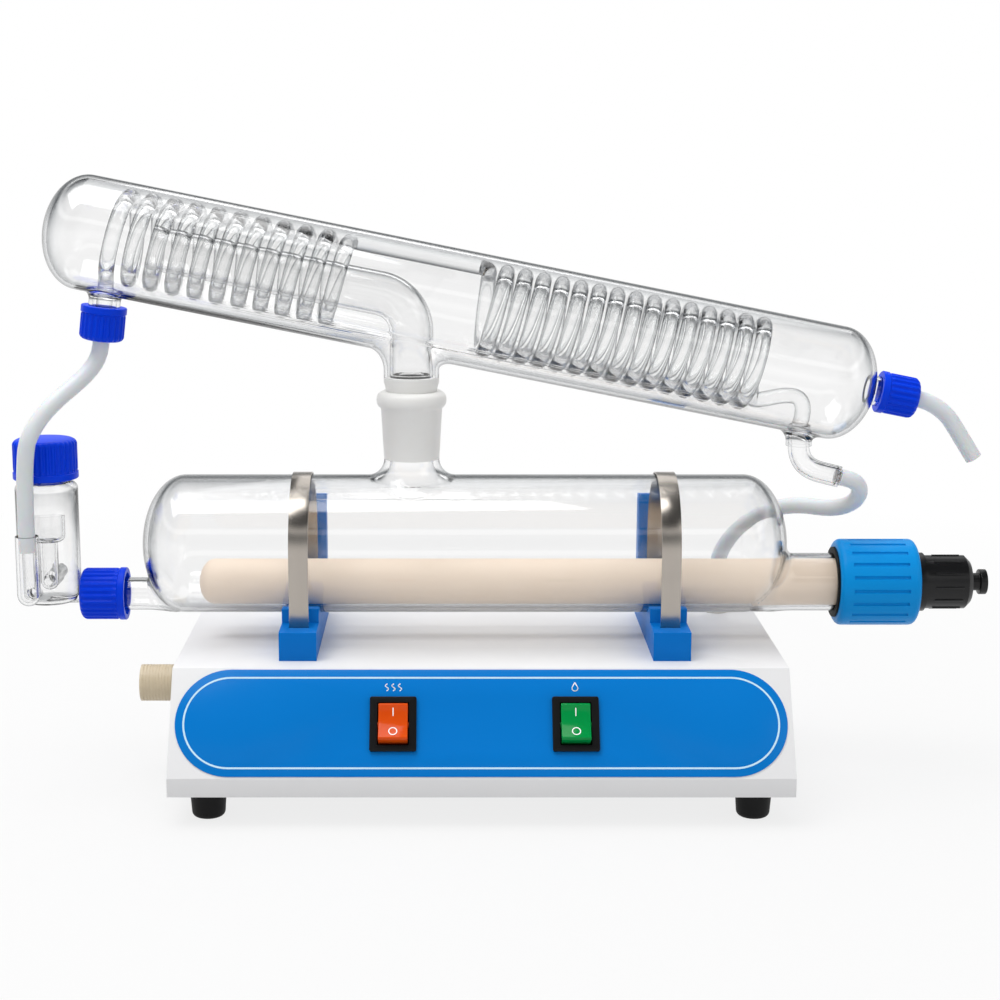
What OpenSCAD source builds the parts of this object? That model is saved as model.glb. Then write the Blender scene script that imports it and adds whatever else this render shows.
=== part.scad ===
// Bench water still: a housing with two switches carries a glass boiler in two strap clamps,
// and a coil condenser stands on the boiler in a ground joint.
// X runs to the right, Y to the back and Z up. The origin is on the bench, under the middle of the still.

/* [Housing] */
// Width of the housing
base_w = 340; // [330:1:420]
// Height of the housing from its lower edge to its top
base_h = 63; // [60:1:90]
// Distance from the boiler's axis to the lower front edge
front_reach = 100; // [94:1:130]
// Distance from the boiler's axis to the upper front edge
top_reach = 67; // [64:1:76]
// Distance from the boiler's axis to the back
back_reach = 80; // [76:1:110]
// Height of the upright strip under the sloping front
strip_h = 10.5; // [8:0.5:12]
// Thickness of the sheet steel
sheet_t = 1.2; // [0.8:0.1:1.6]
// Thickness of the bottom plate
plate_t = 1.5; // [1:0.1:2.5]
// Height of the rubber feet
foot_h = 17; // [12:0.5:24]
// Diameter of a foot at its top
foot_d = 20.5; // [18:0.5:26]
// Inset of the feet from the sides
foot_inset_x = 20; // [18:1:26]
// Inset of the feet from the front and back
foot_inset_y = 20; // [19:1:30]

/* [Front panel] */
// Length of the label
label_l = 334; // [280:1:336]
// Height of the label
label_h = 60; // [50:0.5:61]
// Thickness of the label
label_t = 0.5; // [0.3:0.1:0.8]
// Place of the heating switch, from the middle
heat_x = -48; // [-80:1:-34]
// Place of the mains switch, from the middle
power_x = 51.5; // [34:0.5:80]

/* [Switches] */
// Width of a switch bezel
bezel_w = 25.5; // [24:0.5:28]
// Height of a switch bezel
bezel_h = 30.5; // [29:0.5:33]
// Thickness of a switch bezel
bezel_t = 2; // [1.5:0.1:3]
// Width of a rocker
rocker_w = 16; // [13:0.5:17]
// Height of a rocker
rocker_h = 21.2; // [19:0.2:22]
// Tilt of a rocker to each side of its middle
rocker_tilt = 8; // [5:0.5:9]

/* [Boiler] */
// Outer diameter of the boiler tube
boiler_d = 80; // [76:1:82]
// Length of the boiler from dome to dome
boiler_l = 372; // [350:1:400]
// Place of the boiler's middle, from the housing's middle
boiler_x = -8.5; // [-14:0.5:4]
// Height of the boiler's axis above the housing's top
boiler_lift = 56; // [55:0.5:70]
// Length of each domed end
dome_l = 25; // [20:1:32]
// Wall of the boiler glass
boiler_wall = 2.5; // [1.8:0.1:3.5]

/* [Heater] */
// Drop of the heater's axis below the boiler's axis
heater_drop = 23; // [18:0.5:23.5]
// Outer diameter of the heater sheath
heater_d = 27; // [22:0.5:28]
// Length of the heater sheath inside the boiler and its neck
heater_l = 399; // [340:1:402]
// Outer diameter of the heater neck
heater_neck_d = 33.6; // [33:0.2:36]
// Diameter of the heater nut
nut_d = 50; // [47:0.5:54]
// Length of the heater nut
nut_l = 46; // [40:0.5:50]
// Diameter of the heater plug
plug_d = 31; // [29:0.5:33]
// Length of the heater plug behind the nut
plug_l = 32; // [28:0.5:38]

/* [Ground joint] */
// Place of the joint, from the housing's middle
joint_x = -39; // [-50:0.5:-20]
// Length of the ground faces
ground_l = 32; // [30:0.5:34]
// Diameter of the ground bore at its mouth
ground_d = 29.2; // [28:0.1:29.6]
// Wall of the socket
socket_wall = 2.9; // [2.2:0.1:3.2]
// Outer diameter of the socket's rim bead
bead_d = 40; // [39:0.5:44]

/* [Condenser] */
// Height of the condenser's axis above the boiler's axis, at the joint
condenser_rise = 142; // [139:0.5:160]
// Slope of the condenser
slope = 11.31; // [9:0.01:13]
// Outer diameter of the condenser
condenser_d = 65; // [64:0.5:68]
// Length of the condenser above the joint
upper_l = 210; // [206:1:230]
// Length of the condenser below the joint
lower_l = 269; // [265:1:285]
// Length of its domed ends
condenser_dome = 23; // [18:1:26]
// Wall of the condenser glass
condenser_wall = 2.2; // [1.6:0.1:2.6]
// Outer diameter of the neck tube
neck_d = 31.6; // [31:0.2:33]

/* [Coils] */
// Diameter of the coil tube
coil_tube = 9.2; // [6:0.2:9.4]
// Radius of a coil, to the middle of its tube
coil_r = 23; // [21:0.2:24]
// Pitch of the upper coil
upper_pitch = 12.5; // [11.5:0.1:13]
// Pitch of the lower coil
lower_pitch = 10.6; // [10:0.1:10.8]
// Outer diameter of the steam tube
steam_d = 25; // [20:0.5:26]

/* [Clamps] */
// Place of the left clamp, from the middle
clamp_left = -102; // [-120:1:-84]
// Place of the right clamp, from the middle
clamp_right = 107; // [84:1:112]
// Width of a clamp block
clamp_w = 21; // [18:0.5:26]
// Width of a strap
strap_w = 11; // [8:0.5:13]
// Thickness of a strap
strap_t = 0.9; // [0.6:0.1:1.2]

/* [Level vessel] */
// Diameter of the vessel
vessel_d = 36; // [34:0.5:37]
// Height of the vessel's glass from its bottom to its shoulder
vessel_h = 68; // [64:1:78]
// Diameter of the vessel's cap
vessel_cap_d = 37.4; // [35:0.2:40]
// Height of the vessel's cap
vessel_cap_h = 22.8; // [18:0.2:26]

/* [Hoses and water inlet] */
// Outer diameter of the hoses
hose_d = 9.6; // [8:0.2:9.8]
// Bore of the hoses
hose_bore = 6.4; // [5:0.2:7]
// Diameter of the water inlet thread
inlet_d = 21; // [19:0.1:22]
// Length of the water inlet thread outside its washer
inlet_l = 21; // [16:0.5:26]

/* [Hidden] */
$fn = 64;

// Clearance of holes that nothing turns in, fit of what turns or slides, overrun of cuts
slip = 0.3;
fit_gap = 0.05;
cut = 1;

// Heights from the bench
base_z = foot_h;
top_z = base_z + base_h;
boiler_z = top_z + boiler_lift;
boiler_r = boiler_d / 2;
heater_z = boiler_z - heater_drop;
axis_z = boiler_z + condenser_rise;

// Points of an elliptic arc
function arc(cx, cy, rx, ry, a0, a1, steps) =
    [for (i = [0:steps]) let (a = a0 + (a1 - a0) * i / steps) [cx + rx * cos(a), cy + ry * sin(a)]];

// A vector of length one
function unit(v) = v / norm(v);

// The way a route runs at one of its points
function heading(p, i) = unit(p[min(i + 1, len(p) - 1)] - p[max(i - 1, 0)]);

// A direction turned square to the route
function squared(n, t) = unit(n - (n * t) * t);

// One side direction for each point of a route, carried along without twist
function sides_of(p, first) =
    [for (i = 0, n = squared(first, heading(p, 0)); i < len(p);
        i = i + 1, n = i < len(p) ? squared(n, heading(p, i)) : n) n];

// Rings of points round a route, with one radius or one for each point
function rings(p, r, n, first) =
    let (s = sides_of(p, first))
    [for (i = [0:len(p) - 1]) let (t = heading(p, i), b = cross(t, s[i]), ri = is_list(r) ? r[i] : r)
        for (k = [0:n - 1]) p[i] + ri * (cos(360 * k / n) * s[i] + sin(360 * k / n) * b)];

// Triangles between neighbouring rings, facing out or in
function skin(rows, n, at, out) =
    [for (i = [0:rows - 2], k = [0:n - 1], half = [0, 1])
        let (a = at + i * n + k, b = at + i * n + (k + 1) % n,
            tri = half == 0 ? [a, b, b + n] : [a, b + n, a + n])
        out ? [tri[2], tri[1], tri[0]] : tri];

// A closed tube along a route, solid when its bore is zero
module tube(p, r, bore, n, first) {
    rows = len(p);
    outer = rings(p, r, n, first);
    last = (rows - 1) * n;
    if (bore == 0) {
        start_cap = [for (k = [1:n - 2]) [0, k, k + 1]];
        end_cap = [for (k = [1:n - 2]) [last, last + k + 1, last + k]];
        polyhedron(outer, concat(skin(rows, n, 0, true), start_cap, end_cap));
    } else {
        inner = rings(p, bore / cos(180 / n), n, first);
        in0 = rows * n;
        start_ring = [for (k = [0:n - 1], half = [0, 1]) let (j = (k + 1) % n)
            half == 0 ? [k, j, in0 + j] : [k, in0 + j, in0 + k]];
        end_ring = [for (k = [0:n - 1], half = [0, 1]) let (j = (k + 1) % n)
            half == 0 ? [last + j, last + k, in0 + last + k] : [last + j, in0 + last + k, in0 + last + j]];
        polyhedron(concat(outer, inner),
            concat(skin(rows, n, 0, true), skin(rows, n, in0, false), start_ring, end_ring));
    }
}

// Points of a cubic curve, without its first point
function bend(a, b, c, d, steps) =
    [for (i = [1:steps]) let (u = i / steps, v = 1 - u)
        v * v * v * a + 3 * v * v * u * b + 3 * v * u * u * c + u * u * u * d];

// A block with its middle on the origin in X and Y
module slab(x, y, z) {
    translate([-x / 2, -y / 2, 0]) cube([x, y, z]);
}

// A block with four round corners
module round_slab(x, y, z, r) {
    linear_extrude(z) union() {
        square([x - 2 * r, y], center = true);
        square([x, y - 2 * r], center = true);
        for (i = [-1, 1], j = [-1, 1]) translate([i * (x / 2 - r), j * (y / 2 - r)]) circle(r, $fn = 24);
    }
}

// A cylinder along X from a point
module rod_x(place, h, r) {
    translate(place) rotate([0, 90, 0]) cylinder(h = h, r = r);
}

// A cylinder along Y from a point
module rod_y(place, h, r) {
    translate(place) rotate([-90, 0, 0]) cylinder(h = h, r = r);
}

// Everything is drawn from the middle of the housing, under the boiler's axis, and set on its middle
module still() {
    translate([base_x, base_y, 0]) children();
}

// Screws of the housing
screw_r = 2;
screw_clear = 2.2;
screw_head_r = 3.4;
screw_head_h = 2;
screw_over = 1;
nut_h = 3.2;
nut_r = 4;

// Tabs in the corners of the housing, for the bottom plate
tab_w = 14;
tab_in = 8.5;
tab_edge = 4.5;
tab_places = [for (side = [-1, 1], y = [-front_reach + sheet_t + tab_in, back_reach - sheet_t - tab_in])
    [side * (base_w / 2 - sheet_t - tab_in), y]];

// The sloping front, and the panel pieces that sit on it
fold_z = base_z + strip_h;
lean = atan2(front_reach - top_reach, top_z - fold_z);
face_mid_y = -(front_reach + top_reach) / 2;
face_mid_z = (fold_z + top_z) / 2;
switch_drop = 1;
body_w = 21.5;
body_h = 27.8;

module on_face(x) {
    translate([x, face_mid_y, face_mid_z]) rotate([90 - lean, 0, 0]) children();
}

// Pieces in the back wall
panel_t = 2.5;
panel_z = base_z + base_h / 2;
mains_x = 105;
mains_w = 27.6;
mains_h = 20;
socket_x = 60;
socket_r = 10;

// Water side: the valve's inlet in the left wall and the barb through the top
valve_y = -20;
valve_rise = 9.5;
valve_z = panel_z + valve_rise;
bulk_x = 147;
bulk_inset_y = 18;
bulk_y = back_reach - bulk_inset_y;

// Clamp blocks' screws, on both sides of the boiler's axis
support_screw_y = [-24, 24];

// Left wall of the housing
wall_x = -base_w / 2;

// Housing profile, seen from the side
outer_profile = [[-front_reach, base_z], [-front_reach, fold_z], [-top_reach, top_z],
    [back_reach, top_z], [back_reach, base_z]];
inner_profile = [[-front_reach + sheet_t, base_z - cut],
    [-front_reach + sheet_t, fold_z - sheet_t * tan(lean / 2)],
    [-top_reach + sheet_t * (1 - sin(lean)) / cos(lean), top_z - sheet_t],
    [back_reach - sheet_t, top_z - sheet_t], [back_reach - sheet_t, base_z - cut]];

// Extrudes a side profile across the middle of the housing
module across(width) {
    translate([-width / 2, 0, 0]) rotate([90, 0, 90]) linear_extrude(width) children();
}

module base_housing() {
    still() color("whitesmoke") {
        difference() {
            across(base_w) polygon(outer_profile);
            across(base_w - 2 * sheet_t) polygon(inner_profile);
            for (x = [heat_x, power_x]) on_face(x) translate([0, -switch_drop, -sheet_t - cut])
                slab(body_w + slip, body_h + slip, sheet_t + 2 * cut);
            rod_x([wall_x - cut, valve_y, valve_z], sheet_t + 2 * cut, shank_r + slip);
            translate([bulk_x, bulk_y, top_z - sheet_t - cut])
                cylinder(h = sheet_t + 2 * cut, r = hose_d / 2 + slip);
            for (x = [clamp_left, clamp_right], y = support_screw_y)
                translate([x, y, top_z - sheet_t - cut]) cylinder(h = sheet_t + 2 * cut, r = screw_clear);
            translate([mains_x, back_reach - sheet_t - cut, panel_z]) rotate([-90, 0, 0])
                slab(mains_w + slip, mains_h + slip, sheet_t + 2 * cut);
            rod_y([socket_x, back_reach - sheet_t - cut, panel_z], sheet_t + 2 * cut, socket_r + slip);
        }
        difference() {
            for (p = tab_places)
                translate([p[0] + sign(p[0]) * (tab_in - tab_edge) / 2, p[1], base_z + plate_t])
                    slab(tab_in + tab_edge, tab_w, sheet_t);
            for (p = tab_places) translate([p[0], p[1], base_z])
                cylinder(h = plate_t + sheet_t + cut, r = screw_r + fit_gap);
        }
    }
}

foot_places = [for (x = [foot_inset_x - base_w / 2, base_w / 2 - foot_inset_x],
    y = [foot_inset_y - front_reach, back_reach - foot_inset_y]) [x, y]];

module base_plate() {
    long = base_w - 2 * sheet_t - 2 * slip;
    deep = front_reach + back_reach - 2 * sheet_t - 2 * slip;
    still() color("lightgray") difference() {
        translate([0, (back_reach - front_reach) / 2, base_z]) slab(long, deep, plate_t);
        for (p = concat(foot_places, tab_places)) translate([p[0], p[1], base_z - cut])
            cylinder(h = plate_t + 2 * cut, r = screw_clear);
    }
}

// A foot tapers down to a rounded edge, and its screw's head lies up inside it
foot_recess_r = 4.6;
foot_recess_h = 6;
foot_draft = 1;
foot_round = 3;
foot_edge = 2.4;

module rubber_feet() {
    r = foot_d / 2;
    profile = concat([[screw_clear, foot_recess_h], [foot_recess_r, foot_recess_h], [foot_recess_r, 0],
        [r - foot_draft - foot_edge, 0]],
        arc(r - foot_draft - foot_edge, foot_round, foot_edge, foot_round, -70, 0, 5),
        [[r, foot_h], [screw_clear, foot_h]]);
    still() color("#1a1a1c") for (p = foot_places) translate([p[0], p[1], 0])
        rotate_extrude() polygon(profile);
}

module foot_screws() {
    head_z = foot_recess_h - screw_head_h;
    still() color("silver") for (p = foot_places) translate([p[0], p[1], head_z]) union() {
        cylinder(h = screw_head_h, r = screw_head_r);
        cylinder(h = base_z + plate_t + nut_h + screw_over - head_z, r = screw_r);
    }
}

module foot_nuts() {
    still() color("silver") for (p = foot_places) translate([p[0], p[1], base_z + plate_t])
        difference() {
            cylinder(h = nut_h, r = nut_r, $fn = 6);
            translate([0, 0, -cut]) cylinder(h = nut_h + 2 * cut, r = screw_r + fit_gap);
        }
}

module plate_screws() {
    still() color("silver") for (p = tab_places) translate([p[0], p[1], base_z - screw_head_h]) union() {
        cylinder(h = screw_head_h, r = screw_head_r);
        cylinder(h = screw_head_h + plate_t + sheet_t + screw_over, r = screw_r);
    }
}

module front_label() {
    still() color("#0076c8") on_face(0) difference() {
        linear_extrude(label_t) union() {
            square([label_l - label_h, label_h], center = true);
            for (s = [-1, 1]) translate([s * (label_l - label_h) / 2, 0]) circle(label_h / 2);
        }
        for (x = [heat_x, power_x]) translate([x, -switch_drop, -cut])
            slab(body_w + slip, body_h + slip, label_t + 2 * cut);
    }
}

// A switch: its body behind the panel, the well for the rocker and the rocker's trunnions
body_deep = 20;
bezel_round = 1.2;
well_deep = 7;
well_gap_x = 0.6;
well_gap_y = 1.3;
pivot_drop = 1;
trunnion_r = 1.6;
trunnion_out = 0.9;
well_w = rocker_w + 2 * well_gap_x;
well_h = rocker_h + 2 * well_gap_y;

module switch_body(x) {
    still() on_face(x) translate([0, -switch_drop, label_t]) color("#1c1c1e") difference() {
        union() {
            round_slab(bezel_w, bezel_h, bezel_t, bezel_round);
            translate([0, 0, -body_deep]) slab(body_w, body_h, body_deep + bezel_t / 2);
        }
        translate([0, 0, -well_deep]) slab(well_w, well_h, well_deep + bezel_t + cut);
        rod_x([-well_w / 2 - trunnion_out, 0, -pivot_drop], well_w + 2 * trunnion_out,
            trunnion_r + fit_gap);
    }
}

// Side outline of a rocker, dished outwards, from the trunnions' axis
rocker_foot = 2;
rocker_lip = 0.9;
rocker_swell = 0.2;
rocker_rise_shares = [0.237, 0.283, 0.197];
rocker_profile = [[-rocker_h / 2, -rocker_foot], [rocker_h / 2, -rocker_foot],
    [rocker_h / 2 + rocker_swell, rocker_h * rocker_rise_shares[0]],
    [rocker_h / 2 - rocker_lip, rocker_h * rocker_rise_shares[1]], [0, rocker_h * rocker_rise_shares[2]],
    [rocker_lip - rocker_h / 2, rocker_h * rocker_rise_shares[1]],
    [-rocker_h / 2 - rocker_swell, rocker_h * rocker_rise_shares[0]]];

// A rocker at rest, with its upper end pressed in
module rocker(x, tone) {
    pin_l = well_w + 2 * trunnion_out - 4 * fit_gap;
    still() on_face(x) translate([0, -switch_drop, label_t - pivot_drop]) rotate([-rocker_tilt, 0, 0])
        color(tone) union() {
            translate([-rocker_w / 2, 0, 0]) rotate([90, 0, 90])
                linear_extrude(rocker_w) polygon(rocker_profile);
            rod_x([-pin_l / 2, 0, 0], pin_l, trunnion_r);
        }
}

// Blade terminals behind a switch
blade_w = 6.3;
blade_t = 0.8;
blade_l = 9;
blade_x_share = 0.25;
blade_y_share = 0.294;

module terminals(x) {
    still() on_face(x) translate([0, -switch_drop, label_t - body_deep - blade_l]) color("gold")
        for (i = [-1, 1], j = [-1, 0, 1])
            translate([i * body_w * blade_x_share, j * body_h * blade_y_share, 0])
                slab(blade_w, blade_t, blade_l);
}

module heat_switch_body() { switch_body(heat_x); }
module power_switch_body() { switch_body(power_x); }
module heat_rocker() { rocker(heat_x, "#ff5a00"); }
module power_rocker() { rocker(power_x, "#00a850"); }
module heat_switch_terminals() { terminals(heat_x); }
module power_switch_terminals() { terminals(power_x); }

// Water valve: threaded inlet through the wall, body inside it, and a stub with a barb to the back
valve_flange_r = 16.4;
valve_flange_t = 2.4;
washer_t = 1.4;
washer_rim = 2.4;
shank_step = 0.8;
thread_pitch = 1.8;
thread_dip = 0.35;
inlet_bore_r = 7.2;
valve_body_l = 44;
valve_collar = 3;
valve_stub_x = 26.4;
valve_stub_l = 21;
valve_stub_wall = 1;
valve_barb_l = 18;
inlet_out = valve_flange_t + washer_t + inlet_l;
shank_r = inlet_d / 2 + shank_step;

module inlet_valve() {
    start = wall_x - inlet_out;
    stub = [wall_x + valve_stub_x, valve_y, valve_z];
    still() color("#d9cbab") difference() {
        union() {
            translate([start, valve_y, valve_z]) rotate([0, 90, 0]) difference() {
                cylinder(h = inlet_l + cut, r = inlet_d / 2);
                for (z = [thread_pitch:thread_pitch:inlet_l - thread_pitch / 2]) translate([0, 0, z])
                    rotate_extrude() translate([inlet_d / 2 - thread_dip, 0])
                        square([cut, thread_pitch / 3]);
            }
            rod_x([start + inlet_l, valve_y, valve_z], inlet_out + sheet_t + cut - inlet_l, shank_r);
            rod_x([wall_x + sheet_t, valve_y, valve_z], valve_body_l, inlet_d / 2 + valve_collar);
            rod_y(stub, valve_stub_l + cut, hose_d / 2 + valve_stub_wall);
            rod_y(stub + [0, valve_stub_l, 0], valve_barb_l, hose_bore / 2);
        }
        rod_x([start - cut, valve_y, valve_z], inlet_out + cut, inlet_bore_r);
    }
}

// Solenoid under the valve's body, with a screw hole in its lower face
solenoid_x = 26;
solenoid_y = 24;
solenoid_h = 22;
solenoid_hole_r = 3;
solenoid_hole_l = 5;

module valve_coil() {
    low_z = valve_z - inlet_d / 2 - valve_collar - solenoid_h;
    still() color("#2a2a2c") translate([wall_x + valve_stub_x, valve_y, low_z]) difference() {
        slab(solenoid_x, solenoid_y, solenoid_h);
        translate([0, 0, -cut]) cylinder(h = solenoid_hole_l + cut, r = solenoid_hole_r);
    }
}

// A flat ring on the water inlet
module inlet_ring(x, t, r) {
    still() difference() {
        rod_x([x, valve_y, valve_z], t, r);
        rod_x([x - cut, valve_y, valve_z], t + 2 * cut, shank_r + fit_gap);
    }
}

module inlet_flange() {
    color("#bfc1c2") inlet_ring(wall_x - valve_flange_t, valve_flange_t, valve_flange_r);
}

module inlet_washer() {
    color("#1a1a1c") inlet_ring(wall_x - valve_flange_t - washer_t, washer_t, inlet_d / 2 + washer_rim);
}

// Straight barb through the housing's top, with a hose on each end
bulk_flange_h = 3;
bulk_rim = 3;
bulk_h = 9;
barb_l = 12;
bulk_low = top_z - sheet_t - bulk_h;

module hose_bulkhead() {
    still() color("#e6e2d6") translate([bulk_x, bulk_y, 0]) union() {
        translate([0, 0, top_z]) cylinder(h = bulk_flange_h, r = hose_d / 2 + bulk_rim);
        translate([0, 0, bulk_low]) cylinder(h = bulk_h + sheet_t, r = hose_d / 2);
        translate([0, 0, bulk_low - barb_l])
            cylinder(h = top_z + bulk_flange_h + barb_l - bulk_low + barb_l, r = hose_bore / 2);
    }
}

// Hose under the housing's top, from the valve to the bulkhead, along the back
hose_lead = 6;
tail_in = 12;
tail_drop = 36;
tail_x = 40;
valve_out = [wall_x + valve_stub_x, valve_y + valve_stub_l + hose_lead, valve_z];
tail_end = [bulk_x, bulk_y, bulk_low - barb_l];
tail_y = bulk_y - tail_in;
tail_z = top_z - tail_drop;
tail_start = [-tail_x, tail_y, tail_z];
valve_route = concat([valve_out, valve_out + [0, 2 * hose_lead, 0]],
    bend(valve_out + [0, 2 * hose_lead, 0], valve_out + [0, 5 * hose_lead, 0],
        tail_start - [tail_x, 0, 0], tail_start, 8),
    bend(tail_start, tail_start + [3 * tail_x, 0, 0], tail_end - [0, tail_in, 2 * tail_in], tail_end, 12),
    [tail_end + [0, 0, barb_l]]);

module valve_hose() {
    still() color("ghostwhite") tube(valve_route, hose_d / 2, hose_bore / 2 + fit_gap, 10, [0, 0, 1]);
}

// Terminal block on the bottom plate
block_x = -40;
block_y = 10;
way_pitch = 12;
ways = 5;
way_deep = 20;
way_h = 16;
way_hole_r = 2.4;
way_hole_l = 8;

module terminal_block() {
    still() color("#e8e4da") translate([block_x, block_y, base_z + plate_t]) difference() {
        slab(way_pitch * ways, way_deep, way_h);
        for (i = [0:ways - 1], j = [-1, 1])
            translate([(i - (ways - 1) / 2) * way_pitch, j * way_deep / 4, way_h - way_hole_l])
                cylinder(h = way_hole_l + cut, r = way_hole_r);
    }
}

// Thermostat can on its plate
stat_x = 40;
stat_plate_x = 36;
stat_plate_y = 30;
stat_plate_t = 3;
stat_r = 13;
stat_h = 19;
stat_blade_gap = 6;

module safety_thermostat() {
    still() color("#2a2a2c") translate([stat_x, block_y, base_z + plate_t]) union() {
        slab(stat_plate_x, stat_plate_y, stat_plate_t);
        cylinder(h = stat_plate_t + stat_h, r = stat_r);
        for (i = [-1, 1]) translate([i * stat_blade_gap, 0, stat_plate_t + stat_h - cut])
            slab(blade_t, blade_w, blade_l);
    }
}

// Appliance inlet for a mains lead, at the back
mains_rim = 3;
mains_round = 2;
mains_deep = 20;
mains_recess = 15;
mains_wall = 1.5;

module mains_inlet() {
    still() color("#1c1c1e") translate([mains_x, back_reach, panel_z]) rotate([-90, 0, 0]) difference() {
        union() {
            round_slab(mains_w + 2 * mains_rim, mains_h + 2 * mains_rim, panel_t, mains_round);
            translate([0, 0, -mains_deep]) slab(mains_w, mains_h, mains_deep + panel_t / 2);
        }
        translate([0, 0, -mains_recess])
            slab(mains_w - 2 * mains_wall, mains_h - 2 * mains_wall, mains_recess + panel_t + cut);
    }
}

// Round panel socket for the heater lead, at the back
socket_rim = 3;
socket_deep = 16;
socket_recess = 10;
socket_wall_in = 2;

module heater_socket() {
    still() color("#1c1c1e") translate([socket_x, back_reach, panel_z]) rotate([-90, 0, 0]) difference() {
        union() {
            cylinder(h = panel_t, r = socket_r + socket_rim);
            translate([0, 0, -socket_deep]) cylinder(h = socket_deep + panel_t / 2, r = socket_r);
        }
        translate([0, 0, -socket_recess])
            cylinder(h = socket_recess + panel_t + cut, r = socket_r - socket_wall_in);
    }
}

// Clamp block: a foot on the housing, a cradle under the boiler and an arm behind it
block_h = 16.3;
block_front = 53;
block_back = 56;
cradle_half = 31;
cradle_h = 8;
arm_t = 11.5;
arm_rise = 23;
strap_gap = 0.5;
strap_sink = 9;
support_bite = 8;
strap_r = boiler_r + strap_gap;
strap_low = top_z + block_h - strap_sink;

module clamp_support(x) {
    still() color("#0a84d6") translate([x, 0, 0]) difference() {
        union() {
            translate([-clamp_w / 2, -block_front, top_z]) cube([clamp_w, block_front + block_back, block_h]);
            translate([-clamp_w / 2, -cradle_half, top_z])
                cube([clamp_w, 2 * cradle_half, block_h + cradle_h]);
            translate([-clamp_w / 2, block_back - arm_t, top_z])
                cube([clamp_w, arm_t, boiler_z + arm_rise - top_z]);
        }
        translate([-clamp_w, 0, boiler_z]) rotate([0, 90, 0])
            cylinder(h = 2 * clamp_w, r = boiler_r + fit_gap, $fn = 96);
        for (s = [-1, 1]) translate([0, s * (strap_r + strap_t / 2), strap_low])
            slab(strap_w + 2 * slip, strap_t + 2 * slip, strap_sink + cut);
        for (y = support_screw_y) translate([0, y, top_z - cut])
            cylinder(h = support_bite + 2 * cut, r = screw_r + fit_gap);
    }
}

// A steel strap over the boiler, with both ends down in the block
module clamp_strap(x) {
    still() color("silver") translate([x - strap_w / 2, 0, 0]) union() {
        translate([0, 0, boiler_z]) rotate([90, 0, 90]) rotate_extrude(angle = 180, $fn = 96)
            translate([strap_r, 0]) square([strap_t, strap_w]);
        for (y = [strap_r, -strap_r - strap_t]) translate([0, y, strap_low])
            cube([strap_w, strap_t, boiler_z - strap_low]);
    }
}

module clamp_support_left() { clamp_support(clamp_left); }
module clamp_support_right() { clamp_support(clamp_right); }
module clamp_strap_left() { clamp_strap(clamp_left); }
module clamp_strap_right() { clamp_strap(clamp_right); }

module support_screws() {
    still() color("silver") for (x = [clamp_left, clamp_right], y = support_screw_y)
        translate([x, y, top_z - sheet_t - screw_head_h]) union() {
            cylinder(h = screw_head_h, r = screw_head_r);
            cylinder(h = screw_head_h + sheet_t + support_bite, r = screw_r);
        }
}

// Half outline of a domed tube along Z, from its low end to its high end
function capsule(r, low, high, dome) = concat([[0, low]], arc(0, low + dome, r, dome, -84, 0, 9),
    arc(0, high - dome, r, dome, 0, 84, 9), [[0, high]]);

// A domed tube lying along X
module lying(r, low, high, dome) {
    rotate([0, 90, 0]) rotate_extrude($fn = 96) polygon(capsule(r, low, high, dome));
}

// Half outline of a tube that flares where it is fused to a wall below it
function flared(r, seat, top, flare) = concat([[0, 0], [r + flare, 0]],
    arc(r + flare, seat + flare, flare, flare, -90, -180, 6), [[r, top], [0, top]]);

// The boiler's ends, and the nozzles on them
boiler_left = boiler_x - boiler_l / 2;
boiler_right = boiler_x + boiler_l / 2;
fuse_flare = 8;
fuse_sink = 2;
heater_neck_wall = 2.2;
neck_show = 29;
neck_in_nut = 30;
inlet_drop = 30;
inlet_tube_d = 19;
inlet_tube_wall = 2;
inlet_neck_l = 10.5;
inlet_thread_d = 24.4;
thread_l = 17;
thread_run = 15;
nut_start = boiler_right + neck_show;
neck_end = nut_start + neck_in_nut;
inlet_cap_x = boiler_left - inlet_neck_l;
inlet_z = boiler_z - inlet_drop;

// Ground joint, tapering one in ten
taper_share = 0.05;
joint_foot = 10;
joint_lip = 7;
socket_step = 0.6;
socket_base_z = boiler_z + boiler_r + joint_foot;
socket_top_z = socket_base_z + ground_l + joint_lip;
ground_r = ground_d / 2;
ground_small_r = ground_r - ground_l * taper_share;
boiler_neck_r = ground_small_r - socket_step;

module boiler_vessel() {
    inner_r = boiler_r - boiler_wall;
    mouth_x = inlet_cap_x - thread_l;
    still() color("aliceblue", 0.35) difference() {
        union() {
            translate([0, 0, boiler_z]) lying(boiler_r, boiler_left, boiler_right, dome_l);
            translate([joint_x, 0, boiler_z]) rotate_extrude()
                polygon(flared(ground_small_r + socket_wall, boiler_r - fuse_sink,
                    socket_base_z - boiler_z, fuse_flare));
            rod_x([boiler_right - dome_l, 0, heater_z], neck_end - boiler_right + dome_l, heater_neck_d / 2);
            rod_x([mouth_x, 0, inlet_z], boiler_left + dome_l - mouth_x, inlet_tube_d / 2);
            rod_x([mouth_x, 0, inlet_z], thread_run, inlet_thread_d / 2);
        }
        translate([0, 0, boiler_z]) lying(inner_r, boiler_left + boiler_wall, boiler_right - boiler_wall,
            dome_l - boiler_wall);
        translate([joint_x, 0, boiler_z]) cylinder(h = boiler_r + joint_foot + cut, r = boiler_neck_r);
        rod_x([boiler_right - dome_l, 0, heater_z], neck_end - boiler_right + dome_l + cut,
            heater_neck_d / 2 - heater_neck_wall);
        rod_x([mouth_x - cut, 0, inlet_z], boiler_left + dome_l + cut - mouth_x,
            inlet_tube_d / 2 - inlet_tube_wall);
    }
}

// The socket widens with its ground bore up to a bead round its mouth
bead_h = 10;
bead_round = 3;
bead_edge = 0.4;
mouth_round = 1;

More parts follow.
